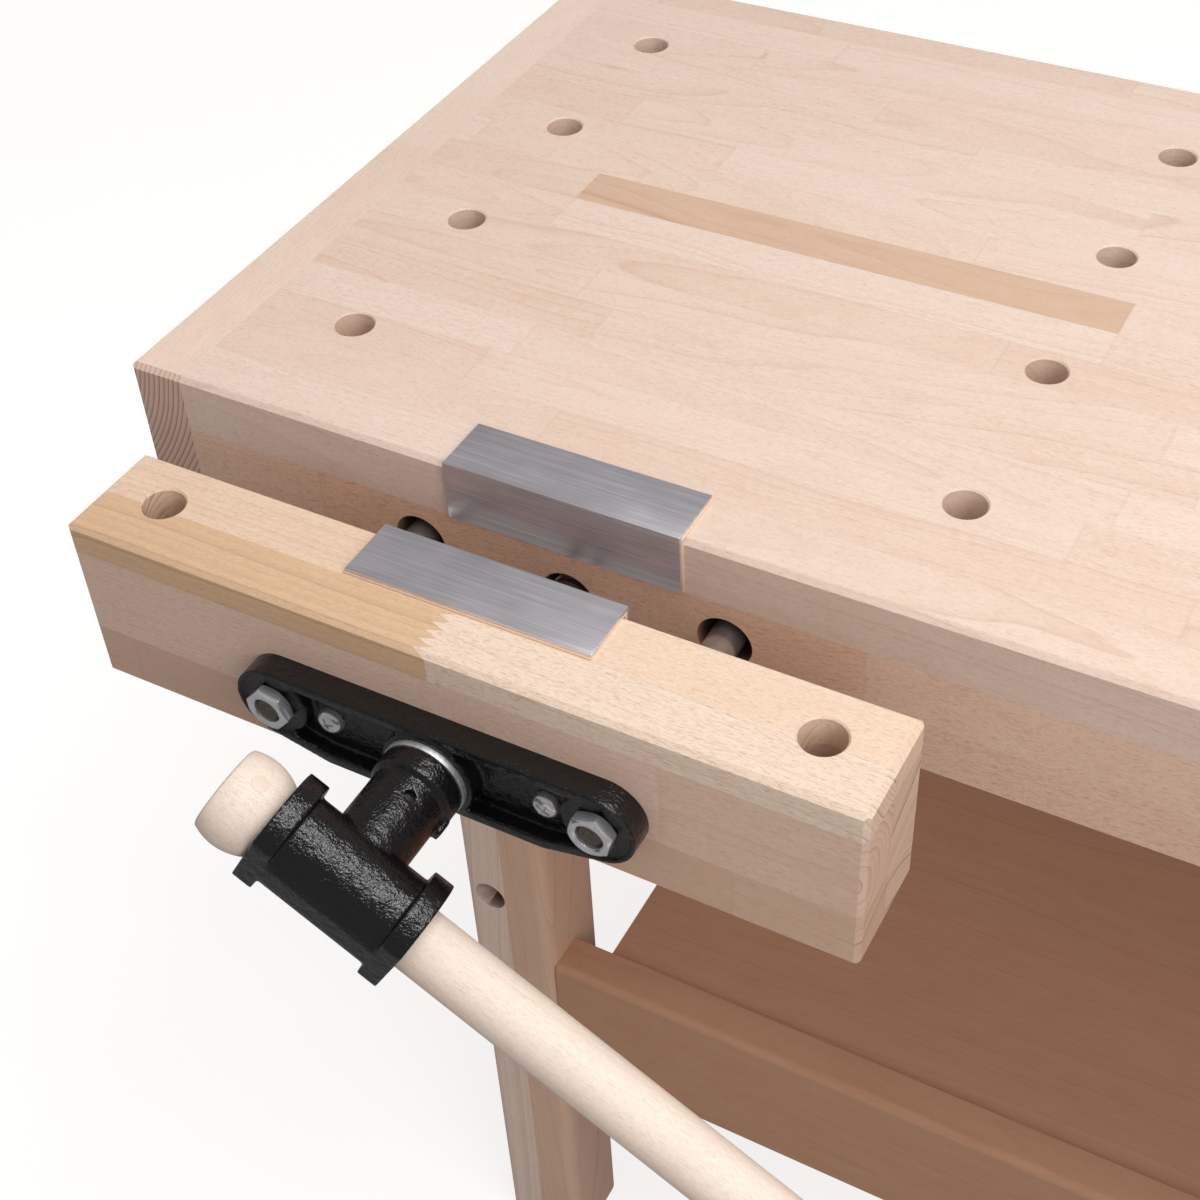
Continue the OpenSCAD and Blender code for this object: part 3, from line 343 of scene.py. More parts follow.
def beech(name, place, tints, line_colour, stave_w=0.0, start=0.0, layers=(), column=None,
          joints=(0.0,), stave_l=100000.0, fingers=(0.0, 1.0), figure=0.4, fleck=0.6,
          piths=((25, -45),), wander=60.0, bend=1.0, gap=4.0, even=0.0, tone=1.0, contrast=0.16,
          seed=0.0, end_dark=0.20, end_rings=1.2, heart=None, bored=None):
    """Beech glued up from staves that run along X. They lie side by side in Y at an even width,
    or in layers under each other, and a column of layers may stand behind the first. The walls of
    holes bored along Y between two heights get painted shade that deepens inwards from a face."""
    made, tree = new_material(name)
    x, y, z = parts(tree, in_piece(tree, place))
    row, seam, middle = 0.0, 0.0, 0.0
    if stave_w:
        past_start = calc(tree, "MAXIMUM", calc(tree, "SUBTRACT", y, start), 0.01)
        across = calc(tree, "DIVIDE", past_start, stave_w)
        row = calc(tree, "FLOOR", across)
        from_middle = calc(tree, "ABSOLUTE", spread(tree, calc(tree, "FRACT", across), 1.0))
        seam = ramp(tree, from_middle, [(0.5 - 0.40 / stave_w, 0.0), (0.5 - 0.1 / stave_w, 1.0)])
        middle = calc(tree, "MULTIPLY_ADD", calc(tree, "ADD", row, 0.5), stave_w, start)
    for height in layers:
        row = calc(tree, "ADD", row, calc(tree, "LESS_THAN", z, height))
        seam = glued(tree, seam, z, height)
    if column is not None:
        row = calc(tree, "MULTIPLY_ADD", calc(tree, "GREATER_THAN", y, column), len(layers) + 1.0, row)
        seam = glued(tree, seam, y, column)
    first_joint = value_of(tree, row, joints)
    depth, pitch = fingers
    cut = calc(tree, "MULTIPLY_ADD", calc(tree, "PINGPONG", y, pitch), depth / pitch, x)
    along = calc(tree, "DIVIDE", calc(tree, "SUBTRACT", cut, first_joint), stave_l)
    piece = calc(tree, "FLOOR", along)
    butt = calc(tree, "ABSOLUTE", spread(tree, calc(tree, "FRACT", along), 1.0))
    butt = ramp(tree, butt, [(0.5 - 0.4 / stave_l, 0.0), (0.5 - 0.1 / stave_l, 1.0)])
    seam = calc(tree, "MAXIMUM", seam, butt)

    grown = link(tree, "Group", node_tree=beech_figure)
    point = join(tree, x, calc(tree, "SUBTRACT", y, middle), z)
    pith = join(tree, 0.0, *(value_of(tree, row, values) for values in zip(*piths)))
    for socket, value in (("Point", point), ("Stave", join(tree, row, piece, seed)), ("Pith", pith)):
        tree.links.new(value, grown.inputs[socket])
    for socket, value in (("Wander", wander), ("Bend", bend), ("Gap", gap), ("Even", even),
                          ("Figure", figure), ("Fleck", fleck), ("Tone", tone)):
        grown.inputs[socket].default_value = value
    line, speck = grown.outputs["Line"], grown.outputs["Speck"]
    colour = colour_of(tree, row, tints)
    if heart:
        heart_row, heart_piece, heart_tint = heart
        is_heart = times(tree, calc(tree, "COMPARE", row, heart_row, 0.1),
                        calc(tree, "COMPARE", piece, heart_piece, 0.1))
        colour = mix(tree, is_heart, colour, (*heart_tint, 1))
        line = times(tree, line, calc(tree, "MULTIPLY_ADD", is_heart, 1.3, 1.0))
    dark_end = [1 - contrast * share for share in (0.8, 1.2, 1.75)]
    pale_end = [1 + contrast * share for share in (0.45, 0.8, 1.05)]
    shade = ramp(tree, calc(tree, "MULTIPLY_ADD", grown.outputs["Tint"], 0.5, 0.5), [
        (0.0, (*dark_end, 1)), (0.5, 1.0), (1.0, (*pale_end, 1))])
    colour = mix(tree, 1.0, colour, shade, "MULTIPLY")
    colour = mix(tree, line, colour, (*line_colour, 1))
    colour = mix(tree, speck, colour, (*line_colour, 1))
    dark = tuple(0.5 * part for part in line_colour)
    colour = mix(tree, times(tree, seam, 0.09), colour, (*dark, 1))
    normal_x, normal_y = parts(tree, in_piece(tree, place, "Normal"))[:2]
    end_grain = ramp(tree, calc(tree, "ABSOLUTE", normal_x), [(0.45, 0.0), (0.9, 1.0)])
    colour = mix(tree, times(tree, end_grain, end_dark), colour, (*line_colour, 1))
    rings = calc(tree, "MINIMUM", times(tree, line, end_rings), 0.85)
    rings = times(tree, end_grain, rings)
    colour = mix(tree, rings, colour, (*dark, 1))
    # Painted shade on the walls of bored holes, deepening inwards from the face.
    if bored:
        low, high, face = bored
        in_hole = times(tree, calc(tree, "COMPARE", z, (low + high) / 2, (high - low) / 2),
                       calc(tree, "LESS_THAN", calc(tree, "ABSOLUTE", normal_y), 0.5))
        shade_inwards = ramp(tree, calc(tree, "DIVIDE", calc(tree, "SUBTRACT", y, face), hole_shade_depth), [
            (0.0, 0.3), (0.25, 0.8), (0.8, 0.96)])
        colour = mix(tree, times(tree, in_hole, shade_inwards), colour, painted_hole_shade)
    bump = relief(tree, grown.outputs["Height"], 0.3, fine_relief)
    finish_material(tree, {"Base Color": colour, "Normal": bump, "Specular IOR Level": 0.3,
                           "Roughness": calc(tree, "MULTIPLY_ADD", grown.outputs["Tint"], -0.10, 0.56)})
    return made


def dress(name, material):
    """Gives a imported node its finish."""
    slots = nodes[name].data.materials
    slots.clear()
    slots.append(material)


def middle_of(name):
    """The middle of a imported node's box."""
    low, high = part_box(name)
    return Matrix.Translation((low + high) / 2)


# The bench top: three boards glued side by side from staves of beech, 38 mm thick, sanded
# and oiled. Row by row the staves end at different places, and one stave is brown heartwood.
stave_w, first_seam = 34.6, 2.3
top_stave_l = 372.0
top_joints = (330, 264, 195, 208, 243, 215, 475, 530, 530, 425, 600, 510, 380, 300, 560, 240, 450)
pale_beech, beech_line, heartwood = (0.755, 0.59, 0.495), (0.50, 0.31, 0.205), (0.63, 0.43, 0.31)
top_corner = Matrix.Translation((bench_left, bench_front, bench_top))

top_beech = beech("top_beech", top_corner, (pale_beech,), beech_line, stave_w=stave_w, start=first_seam,
                  joints=top_joints, stave_l=top_stave_l, figure=0.34, fleck=0.55, piths=((4, -34),),
                  wander=46.0, seed=3.0, heart=(8.0, -1.0, heartwood))
for board in ("top_board_front", "top_board_middle", "top_board_rear"):
    dress(board, top_beech)

# The aprons: beech strips two staves high, glued under the front and rear edges. The rods and
# the screw of the front vise pass through the front one.
apron_seam, apron_joints, apron_stave_l = -77.5, (134, 470), 353.0
# The apron's tint is warmer than the top's: partly its own wood, partly painted warm bounce light on its
# shaded front face.
apron_wood_and_bounce_tint, apron_red = (0.765, 0.535, 0.415), (0.80, 0.53, 0.385)

# The walls of the holes for the rods and the screw get painted shade that deepens inwards.
apron_beech = beech("apron_beech", top_corner, (apron_wood_and_bounce_tint,), beech_line, layers=(apron_seam,),
                    joints=apron_joints, stave_l=apron_stave_l, figure=0.22, fleck=1.0, tone=0.6,
                    piths=((45, -70),), wander=50.0, seed=11.0, heart=(0.0, 0.0, apron_red),
                    bored=(-98.0, -46.0, 0.0))
for apron in ("front_apron", "rear_apron"):
    dress(apron, apron_beech)

# The end caps: one plank of beech across each end of the top, its grain across the bench, held
# by three bolts that sit in counterbores. The ends of the planks show their growth rings.
cap_tint, cap_line = (0.83, 0.665, 0.56), (0.50, 0.28, 0.215)

for seed, plank in enumerate(("left_end_cap", "right_end_cap")):
    dress(plank, beech(plank + "_beech", middle_of(plank) @ turn("Z", 90), (cap_tint,), cap_line,
                       figure=0.15, fleck=0.4, piths=((155, 93),), wander=6.0, bend=0.25, gap=3.7,
                       even=0.8, tone=0.5, seed=21.0 + seed, end_dark=0.36, end_rings=9.5))

# The trestles: square beech legs glued up from two staves, a paler and a redder one, joined
# in pairs by rails with glued tenons. They stand under both ends of the top.
leg_tints, rail_tint = ((0.80, 0.63, 0.54), (0.69, 0.46, 0.34)), (0.69, 0.50, 0.40)
frame_line, hole_r = (0.42, 0.25, 0.16), 16.0

for seed, leg in enumerate(("front_left_leg", "front_right_leg", "rear_left_leg", "rear_right_leg")):
    leg_low, leg_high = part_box(leg)
    # The walls of the hole through each leg get painted shade that deepens inwards.
    dress(leg, beech(leg + "_beech", middle_of(leg) @ turn("Y", -90), leg_tints, frame_line,
                     layers=(0.0,), figure=0.45, fleck=0.3, piths=((40, 150),), wander=40.0, bend=0.35,
                     seed=31.0 + seed, bored=(-hole_r, hole_r, (leg_low.y - leg_high.y) / 2 / mm)))
for seed, rail in enumerate(("left_head_rail", "right_head_rail", "left_low_rail", "right_low_rail")):
    dress(rail, beech(rail + "_beech", middle_of(rail) @ turn("Z", 90), (rail_tint,), frame_line,
                      figure=0.5, fleck=0.4, seed=41.0 + seed))

# The stretchers: two long boards of redder, steamed beech between the trestles. The battens
# under the shelf and the pegs between legs and top are of the same wood.
steamed_tint, steamed_line = (0.51, 0.28, 0.175), (0.28, 0.13, 0.075)

for seed, board in enumerate(("front_stretcher", "rear_stretcher", "shelf_battens", "top_pegs")):
    dress(board, beech(board + "_beech", middle_of(board), (steamed_tint,), steamed_line, figure=0.5,
                       fleck=0.35, seed=51.0 + seed))

# The shelf: a thin board between the stretchers, faced with brown-pink veneer that has the
# wide soft figure of a peeled sheet.
shelf_tint = (0.57, 0.315, 0.205)

dress("shelf", beech("shelf_veneer", middle_of("shelf"), (shelf_tint,), steamed_line, figure=0.38,
                     fleck=0.15, piths=((0, -60),), wander=10.0, tone=0.4, seed=61.0))

# Bolts, cross nuts and screws that hold the frame, the end caps and the nut blocks: mild
# steel with a thin bright coat of zinc.
zinc_tone, zinc_dull = (0.90, 0.91, 0.95), (0.78, 0.79, 0.83)
fine_grain, polish_swing = 1800.0, 0.08


def noise(tree, point, scale, detail, **sockets):
    """Noise at this many blots to the unit of its point."""
    sockets = {"Vector": point, "Scale": scale, "Detail": detail, **sockets}
    return link(tree, "TexNoise", sockets).outputs["Fac"]


def metal(name, bright, dull, polish, speck_size=3.0, bite=0.05, sheen=1.0):
    """Bare metal: two tones in fine mottling, and a shallow tool grain. A dull skin has less sheen."""
    made, tree = new_material(name)
    where = link(tree, "TexCoord").outputs["Object"]
    mottle = noise(tree, where, 1 / (speck_size * mm), 3.0)
    fine = noise(tree, where, fine_grain, 2.0)
    colour = ramp(tree, mottle, [(0.35, (*dull, 1)), (0.6, (*bright, 1))])
    rough = calc(tree, "MULTIPLY_ADD", mottle, 2 * polish_swing, polish - polish_swing)
    bump = relief(tree, fine, bite, fine_relief)
    finish_material(tree, {"Base Color": colour, "Metallic": sheen, "Roughness": rough, "Normal": bump})
    return made


zinc = metal("zinc_plate", zinc_tone, zinc_dull, 0.24, speck_size=7.0, bite=0.01, sheen=0.86)
for fastener in ("end_cap_bolts", "stretcher_bolts", "barrel_nuts", "nut_block_screws"):
    dress(fastener, zinc)

# The fixed side of the vises, under the top: iron nut blocks in black paint, with a bronze
# nut for each lead screw and two bronze bushes for the rods.
bronze_tone, bronze_dull = (0.62, 0.43, 0.22), (0.42, 0.27, 0.13)
paint_tone, paint_dust = (0.003, 0.003, 0.0035), (0.006, 0.006, 0.007)
paint_relief, dust_scale = 0.7 * mm, 60.0


def black_paint(name, grit, depth):
    """Glossy black paint over the skin of a sand casting, whose pebbles break up the light."""
    made, tree = new_material(name)
    where = link(tree, "TexCoord").outputs["Object"]
    pebbles = noise(tree, where, 1 / (grit * mm), 2.5, Roughness=0.55)
    waves = noise(tree, where, 0.25 / (grit * mm), 1.0)
    height = calc(tree, "MULTIPLY_ADD", waves, 1.5, pebbles)
    bump = relief(tree, height, depth, paint_relief)
    gloss = ramp(tree, noise(tree, where, dust_scale, 4.0), [(0.35, 0.08), (0.7, 0.17)])
    colour = ramp(tree, pebbles, [(0.3, (*paint_tone, 1)), (0.75, (*paint_dust, 1))])
    finish_material(tree, {"Base Color": colour, "Roughness": gloss, "Normal": bump,
                           "Specular IOR Level": 0.6})
    return made


dress("nut_blocks", black_paint("block_paint", 1.6, 0.5))
bronze = metal("cast_bronze", bronze_tone, bronze_dull, 0.36)
for bearing in ("lead_nuts", "guide_bushes"):
    dress(bearing, bronze)

# The vises. Each has a frame of its own on the outer face of its jaw, on the axis of its
# screw: X runs along the jaw, Y up, and Z out of the bench towards the worker. In the frame of
# its hub X runs down along the handle bar instead.
vises = {}
for side, heading in (("front", 0), ("tail", 90)):
    low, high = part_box(side + "_thrust_washer")
    axis = (low + high) / 2
    jaw_low, jaw_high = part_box(side + "_jaw")
    if side == "front":
        axis.y = jaw_low.y
    else:
        axis.x = jaw_high.x
    place = Matrix.Translation(axis) @ turn("Z", heading) @ turn("X", 90)
    slide = next(joint for joint in frame["joints"] if joint["name"] == side + "_handle_slide")
    down = place.to_3x3().inverted() @ -Vector(slide["axis"])
    rod_low, rod_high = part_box(side + "_guide_rods")
    vises[side] = {
        "place": place, "hub": place @ Matrix.Rotation(math.atan2(down.y, down.x), 4, "Z"),
        "reach": rod_high.y - axis.y if side == "front" else axis.x - rod_low.x,
    }

# The jaws: thick planks glued up from beech in two columns and three layers. A brown strip
# is finger-jointed into the upper outer edge. They slide on the guide rods.
jaw_l, jaw_up = 480 * mm, 72 * mm
jaw_layers, jaw_column, jaw_stave_l = (-19.0, -77.0), 33.0, 382.0
jaw_joints = (236, 370, 28, 240, 150, 90)
jaw_piths = ((70, 40), (-20, -50), (60, -190), (-40, 60), (10, 60), (20, -170))
jaw_tints = ((0.77, 0.605, 0.485), (0.70, 0.50, 0.40), (0.62, 0.43, 0.33),
             (0.76, 0.57, 0.43), (0.70, 0.53, 0.44), (0.67, 0.49, 0.40))
jaw_brown = (0.66, 0.44, 0.27)

# The jaws' end faces are darkened more than end grain alone: partly end grain, partly painted shade on
# the well-lit right end.
for seed, side in enumerate(vises):
    jaw_corner = vises[side]["place"] @ Matrix.Translation((-jaw_l / 2, jaw_up, 0)) @ turn("X", -90)
    dress(side + "_jaw", beech(
        side + "_jaw_beech", jaw_corner, jaw_tints, beech_line, layers=jaw_layers, column=jaw_column,
        joints=jaw_joints, stave_l=jaw_stave_l, fingers=(9.0, 3.3), figure=0.36, fleck=0.75,
        piths=jaw_piths, wander=10.0, even=0.3, end_dark=0.28, end_rings=3.0, seed=71.0 + seed,
        heart=(0.0, -1.0, jaw_brown)))

# The brackets: one iron casting for each vise, a plate with round ends, a raised rim, round
# pads under the rod nuts and a boss for the screw. Its skin is coarse and painted glossy black,
# and its bore is wide enough for the screw to turn clear of that skin.
rod_half, rod_up = 100 * mm, 6 * mm
end_r, rim_w, rim_h, floor_t = 23 * mm, 6 * mm, 15 * mm, 6 * mm
foot_half, foot_down = 68 * mm, 25 * mm
pad_r, pad_h = 21 * mm, 13.5 * mm
boss_r, boss_h = 27.8 * mm, 17.1 * mm
stud_r, shank_r, play = 8 * mm, 10 * mm, 0.05 * mm
screw_half, screw_up, screw_hole_r = 67.5 * mm, 1 * mm, 3 * mm
skin, skin_passes, edge_worn, arc_steps, small_sides = 0.85 * mm, 6, 0.5 * mm, 24, 32


def select_only(piece):
    """Makes this the one selected and active object."""
    bpy.ops.object.select_all(action="DESELECT")
    piece.select_set(True)
    bpy.context.view_layer.objects.active = piece


def unite(pair):
    """Makes one object of two."""
    select_only(pair[0])
    pair[1].select_set(True)
    bpy.ops.object.join()
    return pair[0]


def edit(piece):
    """Opens a piece in edit mode with all of it selected."""
    select_only(piece)
    bpy.ops.object.mode_set(mode="EDIT")
    bpy.ops.mesh.select_all(action="SELECT")


def close_edit():
    """Turns the faces outwards and leaves edit mode."""
    bpy.ops.mesh.select_all(action="SELECT")
    bpy.ops.mesh.normals_make_consistent(inside=False)
    bpy.ops.object.mode_set(mode="OBJECT")


def use_modifier(piece, kind, **settings):
    """Adds a modifier and applies it."""
    select_only(piece)
    added = piece.modifiers.new(kind.lower(), kind)
    for name, value in settings.items():
        setattr(added, name, value)
    bpy.ops.object.modifier_apply(modifier=added.name)
    return piece


def combine(piece, tool, operation="UNION"):
    """Joins a second solid to a piece, cuts it out, or keeps what both share."""
    use_modifier(piece, "BOOLEAN", object=tool, operation=operation, solver="EXACT")
    bpy.data.objects.remove(tool)
    return piece


def cut(piece, tool):
    """Cuts a solid out of a piece."""
    return combine(piece, tool, "DIFFERENCE")


def round_bar(radius, start, end, x=0.0, y=0.0, sides=72):
    """An upright cylinder from one height to another."""
    bpy.ops.mesh.primitive_cylinder_add(vertices=sides, radius=radius, depth=end - start,
                                        location=(x, y, (start + end) / 2))
    return bpy.context.active_object


def cross_bar(radius, start, end, out, sides=72):
    """A cylinder along X at this height."""
    bpy.ops.mesh.primitive_cylinder_add(vertices=sides, radius=radius, depth=end - start,
                                        location=((start + end) / 2, 0, out),
                                        rotation=(0, math.pi / 2, 0))
    return bpy.context.active_object


def block(low, high):
    """A block between two corners."""
    bpy.ops.mesh.primitive_cube_add(size=1, location=[(a + b) / 2 for a, b in zip(low, high)],
                                    scale=[b - a for a, b in zip(low, high)])
    return bpy.context.active_object


def prism(outline, start, end):
    """A solid over an outline: a disc whose corners are moved onto the outline, then drawn out."""
    bpy.ops.mesh.primitive_circle_add(vertices=len(outline), fill_type="NGON")
    piece = bpy.context.active_object
    for corner, (x, y) in zip(piece.data.vertices, outline):
        corner.co = (x, y, start)
    edit(piece)
    bpy.ops.mesh.extrude_region_move(TRANSFORM_OT_translate={"value": (0, 0, end - start)})
    close_edit()
    return piece


def turned(steps, sides=96):
    """A turned solid on an upright axis: a disc drawn out to one radius and height after another."""
    radius, height = steps[0]
    bpy.ops.mesh.primitive_circle_add(vertices=sides, radius=radius, fill_type="NGON")
    piece = bpy.context.active_object
    edit(piece)
    bpy.ops.transform.translate(value=(0, 0, height))
    for next_radius, next_height in steps[1:]:
        bpy.ops.mesh.extrude_region_move(TRANSFORM_OT_translate={"value": (0, 0, next_height - height)})
        share = next_radius / radius
        bpy.ops.transform.resize(value=(share, share, 1), center_override=(0, 0, next_height))
        radius, height = next_radius, next_height
    close_edit()
    return piece


def soften(piece, width, segments=2):
    """Breaks the sharp edges."""
    return use_modifier(piece, "BEVEL", width=width, segments=segments, limit_method="ANGLE",
                        angle_limit=math.radians(40))


def casting(piece):
    """Gives a solid the rounded edges of a casting: its surface is laid anew and smoothed."""
    use_modifier(piece, "REMESH", mode="VOXEL", voxel_size=skin)
    return use_modifier(piece, "SMOOTH", factor=0.5, iterations=skin_passes)


def settle(piece, name, place, body, replaced, material, smooth=40):
    """Names a finished piece, puts its place into its mesh, and hangs it on its body."""
    piece.name = name
    select_only(piece)
    piece.matrix_world = place @ piece.matrix_world
    bpy.ops.object.transform_apply(location=True, rotation=True, scale=True)
    bpy.ops.object.shade_smooth_by_angle(angle=math.radians(smooth))
    piece.data.materials.clear()
    piece.data.materials.append(material)
    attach(piece, body)
    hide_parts(*replaced)
    return piece


def bracket_outline(inset):
    """The bracket's outline: two round ends, a straight top edge and a shorter straight foot."""
    radius = end_r - inset
    foot_y = inset - foot_down
    run, rise = rod_half - foot_half, rod_up - foot_y
    touch = math.atan2(rise, run) - math.asin(radius / math.hypot(run, rise)) - math.pi / 2
    right = [(foot_half, foot_y)]
    for step in range(arc_steps + 1):
        angle = touch + (math.pi / 2 - touch) * step / arc_steps
        right.append((rod_half + radius * math.cos(angle), rod_up + radius * math.sin(angle)))
    return right + [(-x, y) for x, y in reversed(right)]


casting_paint = black_paint("casting_paint", 1.5, 0.75)
for side in vises:
    plate = prism(bracket_outline(-edge_worn), -2 * skin, rim_h + edge_worn)
    pocket = prism(bracket_outline(rim_w), floor_t, 2 * rim_h)
    for x in (-rod_half, rod_half):
        cut(pocket, round_bar(pad_r, 0.0, 3 * rim_h, x, rod_up))
    cut(plate, pocket)
    for x in (-rod_half, rod_half):
        cut(plate, round_bar(pad_r + play, pad_h, 2 * rim_h, x, rod_up))
    combine(plate, round_bar(boss_r, floor_t / 2, boss_h))
    cut(plate, round_bar(shank_r + skin, -rim_h, 2 * rim_h))
    for x in (-screw_half, screw_half):
        hole = round_bar(screw_hole_r + play, -rim_h, rim_h, x, screw_up, small_sides)
        cut(plate, hole)
    half = 2 * rod_half
    cut(casting(plate), block((-half, -half, -rim_h), (half, half, 0)))
    settle(plate, side + "_bracket_casting", vises[side]["place"], side + "_slide",
           [side + "_bracket"], casting_paint)

# The bracket's two wood screws: zinc-plated pan heads with a cross recess, driven through the
# floor of the casting into the jaw.
head_r, head_h, screw_l, point_r = 8 * mm, 6 * mm, 36 * mm, 0.3 * mm
recess_l, recess_w, recess_d = 5.0 * mm, 0.9 * mm, 2.6 * mm
head_shares = ((1, 0.28), (0.96, 0.50), (0.86, 0.72), (0.70, 0.87), (0.45, 0.965), (0.2, 0.995))
screw_turns = (22, 57)

for side in vises:
    pair = []
    for x, degrees in zip((-screw_half, screw_half), screw_turns):
        screw = turned([
            (point_r, floor_t - screw_l - play), (screw_hole_r, floor_t - 0.86 * screw_l),
            (screw_hole_r, floor_t), (head_r, floor_t),
            *((across * head_r, floor_t + up * head_h) for across, up in head_shares)], 64)
        recess = block((-recess_l, -recess_w, floor_t), (recess_l, recess_w, rim_h))
        combine(recess, block((-recess_w, -recess_l, floor_t), (recess_w, recess_l, rim_h)))
        head_top = floor_t + head_h
        cone = turned([(0.6 * recess_l, head_top - recess_d), (recess_l, head_top)], small_sides)
        combine(recess, cone, "INTERSECT")
        cut(screw, recess)
        screw.rotation_euler = (0, 0, math.radians(degrees))
        screw.location = (x, screw_up, 0)
        pair.append(screw)
    settle(unite(pair), side + "_pan_screws", vises[side]["place"], side + "_slide",
           [side + "_bracket_screws"], zinc, smooth=30)

# The guide rods: two bars of bright drawn steel, turned down at the outer end to a stud that
# passes through jaw and bracket. The far ends are chamfered.
rod_r, nut_h, stud_short = 10 * mm, 8.3 * mm, 2 * mm
rod_chamfer, shoulder = 1.6 * mm, 0.5 * mm
steel_tone, steel_dull = (0.56, 0.55, 0.54), (0.44, 0.43, 0.42)
thread_tone, thread_dull = (0.22, 0.195, 0.175), (0.13, 0.115, 0.105)

drawn_steel = metal("drawn_steel", steel_tone, steel_dull, 0.2, speck_size=9.0, bite=0.05, sheen=0.85)
thread_steel = metal("thread_steel", thread_tone, thread_dull, 0.38, speck_size=1.5, bite=0.08)
for side in vises:
    far, stud_end = -vises[side]["reach"], pad_h + nut_h - stud_short
    pair = []
    for x in (-rod_half, rod_half):
        rod = turned([(rod_r - rod_chamfer, far), (rod_r, far + rod_chamfer), (rod_r, -shoulder),
                      (rod_r - shoulder, 0), (stud_r, 0), (stud_r, stud_end - rod_chamfer),
                      (stud_r - rod_chamfer, stud_end)])
        rod.location = (x, rod_up, 0)
        pair.append(rod)
    rods = settle(unite(pair), side + "_drawn_rods", vises[side]["place"], side + "_slide",
                  [side + "_guide_rods"], drawn_steel)
    rods.data.materials.append(thread_steel)
    inward = vises[side]["place"].inverted()
    for face in rods.data.polygons:
        face.material_index = int((inward @ face.center).z > 0)

# The rod nuts: thin zinc-plated hexagon nuts on the studs, chamfered on their outer face and
# countersunk at the thread. The two stand as they were tightened, at different angles.
nut_r, nut_face_r = 12 * mm / math.cos(math.pi / 6), 11.4 * mm
nut_sink, nut_edge = 1.1 * mm, 0.18 * mm
crown_r, crown_slope, crown_past = 14.6 * mm, 0.66, 1 * mm
nut_turns = (49, 75)

for side in vises:
    pair = []
    for x, degrees in zip((-rod_half, rod_half), nut_turns):
        corners = [math.radians(degrees + 60 * corner) for corner in range(6)]
        nut = prism([(nut_r * math.cos(angle), nut_r * math.sin(angle)) for angle in corners], 0, nut_h)
        drop = crown_slope * (crown_r - nut_face_r)
        narrow_r = nut_face_r - crown_past / crown_slope
        combine(nut, turned([(narrow_r, -crown_past), (crown_r, drop), (crown_r, nut_h - drop),
                             (narrow_r, nut_h + crown_past)]), "INTERSECT")
        cut(nut, round_bar(stud_r + play, -nut_h, 2 * nut_h))
        sink = turned([(stud_r, nut_h - nut_sink), (stud_r + 2 * nut_sink, nut_h + nut_sink)])
        cut(nut, sink)
        soften(nut, nut_edge)
        nut.location = (x, rod_up, pad_h)
        pair.append(nut)
    settle(unite(pair), side + "_hexagon_nuts", vises[side]["place"], side + "_slide",
           [side + "_rod_nuts"], zinc, smooth=25)

# The lead screws: steel, with a trapezoidal thread behind the jaw and a plain shank that runs
# out through jaw, bracket and washer into the hub.
thread_r, core_r, thread_pitch, tip = 12 * mm, 9.4 * mm, 5 * mm, 3 * mm
thread_start, hub_start, shank_in_hub, screw_short = 12.2 * mm, 21 * mm, 50 * mm, 25 * mm
thread_sides = 40

screw_steel = metal("screw_steel", steel_tone, steel_dull, 0.30, speck_size=6.0, bite=0.15)
for side in vises:
    end = -vises[side]["reach"] + screw_short
    profile = ((core_r, 0.0), (core_r, 0.30), (thread_r, 0.43), (thread_r, 0.80), (core_r, 0.93),
               (core_r, 1.0))
    bpy.ops.mesh.primitive_circle_add(vertices=len(profile), fill_type="NOTHING")
    screw = bpy.context.active_object
    edit(screw)
    bpy.ops.mesh.select_all(action="DESELECT")
    bpy.ops.object.mode_set(mode="OBJECT")
    for corner, (radius, share) in zip(screw.data.vertices, profile):
        corner.co = (radius, 0, share * thread_pitch)
    closing = next(line for line in screw.data.edges if set(line.vertices) == {0, len(profile) - 1})
    closing.select = True
    bpy.ops.object.mode_set(mode="EDIT")
    bpy.ops.mesh.select_mode(type="EDGE")
    bpy.ops.mesh.delete(type="EDGE")
    bpy.ops.object.mode_set(mode="OBJECT")
    turns = math.ceil((-thread_start - end) / thread_pitch) + 2
    use_modifier(screw, "SCREW", axis="Z", screw_offset=thread_pitch, iterations=turns,
                 angle=2 * math.pi, steps=thread_sides, render_steps=thread_sides,
                 use_merge_vertices=True, merge_threshold=1e-6)
    edit(screw)
    bpy.ops.mesh.remove_doubles(threshold=1e-6)
    bpy.ops.mesh.select_mode(type="EDGE")
    bpy.ops.mesh.select_all(action="DESELECT")
    bpy.ops.mesh.select_non_manifold(extend=False, use_wire=False, use_boundary=True,
                                     use_multi_face=False, use_non_contiguous=False, use_verts=False)
    bpy.ops.mesh.fill(use_beauty=True)
    close_edit()
    screw.location = (0, 0, end - thread_pitch)
    room_r = thread_r * 1.1
    room = turned([(thread_r - tip, end), (room_r, end + tip * 1.4), (room_r, -thread_start)])
    combine(screw, room, "INTERSECT")
    shank = turned([(shank_r, -thread_start - 0.8 * thread_pitch), (shank_r, hub_start + shank_in_hub)])
    combine(screw, shank)
    settle(screw, side + "_threaded_screw", vises[side]["place"], side + "_screw",
           [side + "_lead_screw"], screw_steel, smooth=35)
    dress(side + "_retaining_collar", screw_steel)

# The thrust washers: bright turned steel rings between the bracket's boss and the hub.
washer_r, washer_t, washer_edge = 24.9 * mm, 3.9 * mm, 0.3 * mm
ring_tone, ring_dull = (0.78, 0.78, 0.79), (0.60, 0.60, 0.61)

turned_steel = metal("turned_steel", ring_tone, ring_dull, 0.52, speck_size=2.0, bite=0.04, sheen=0.9)

for side in vises:
    ring = turned([(washer_r, hub_start - washer_t), (washer_r, hub_start)])
    cut(ring, round_bar(shank_r + play, 0, 2 * hub_start))
    settle(soften(ring, washer_edge), side + "_turned_washer", vises[side]["place"], side + "_screw",
           [side + "_thrust_washer"], turned_steel, smooth=25)

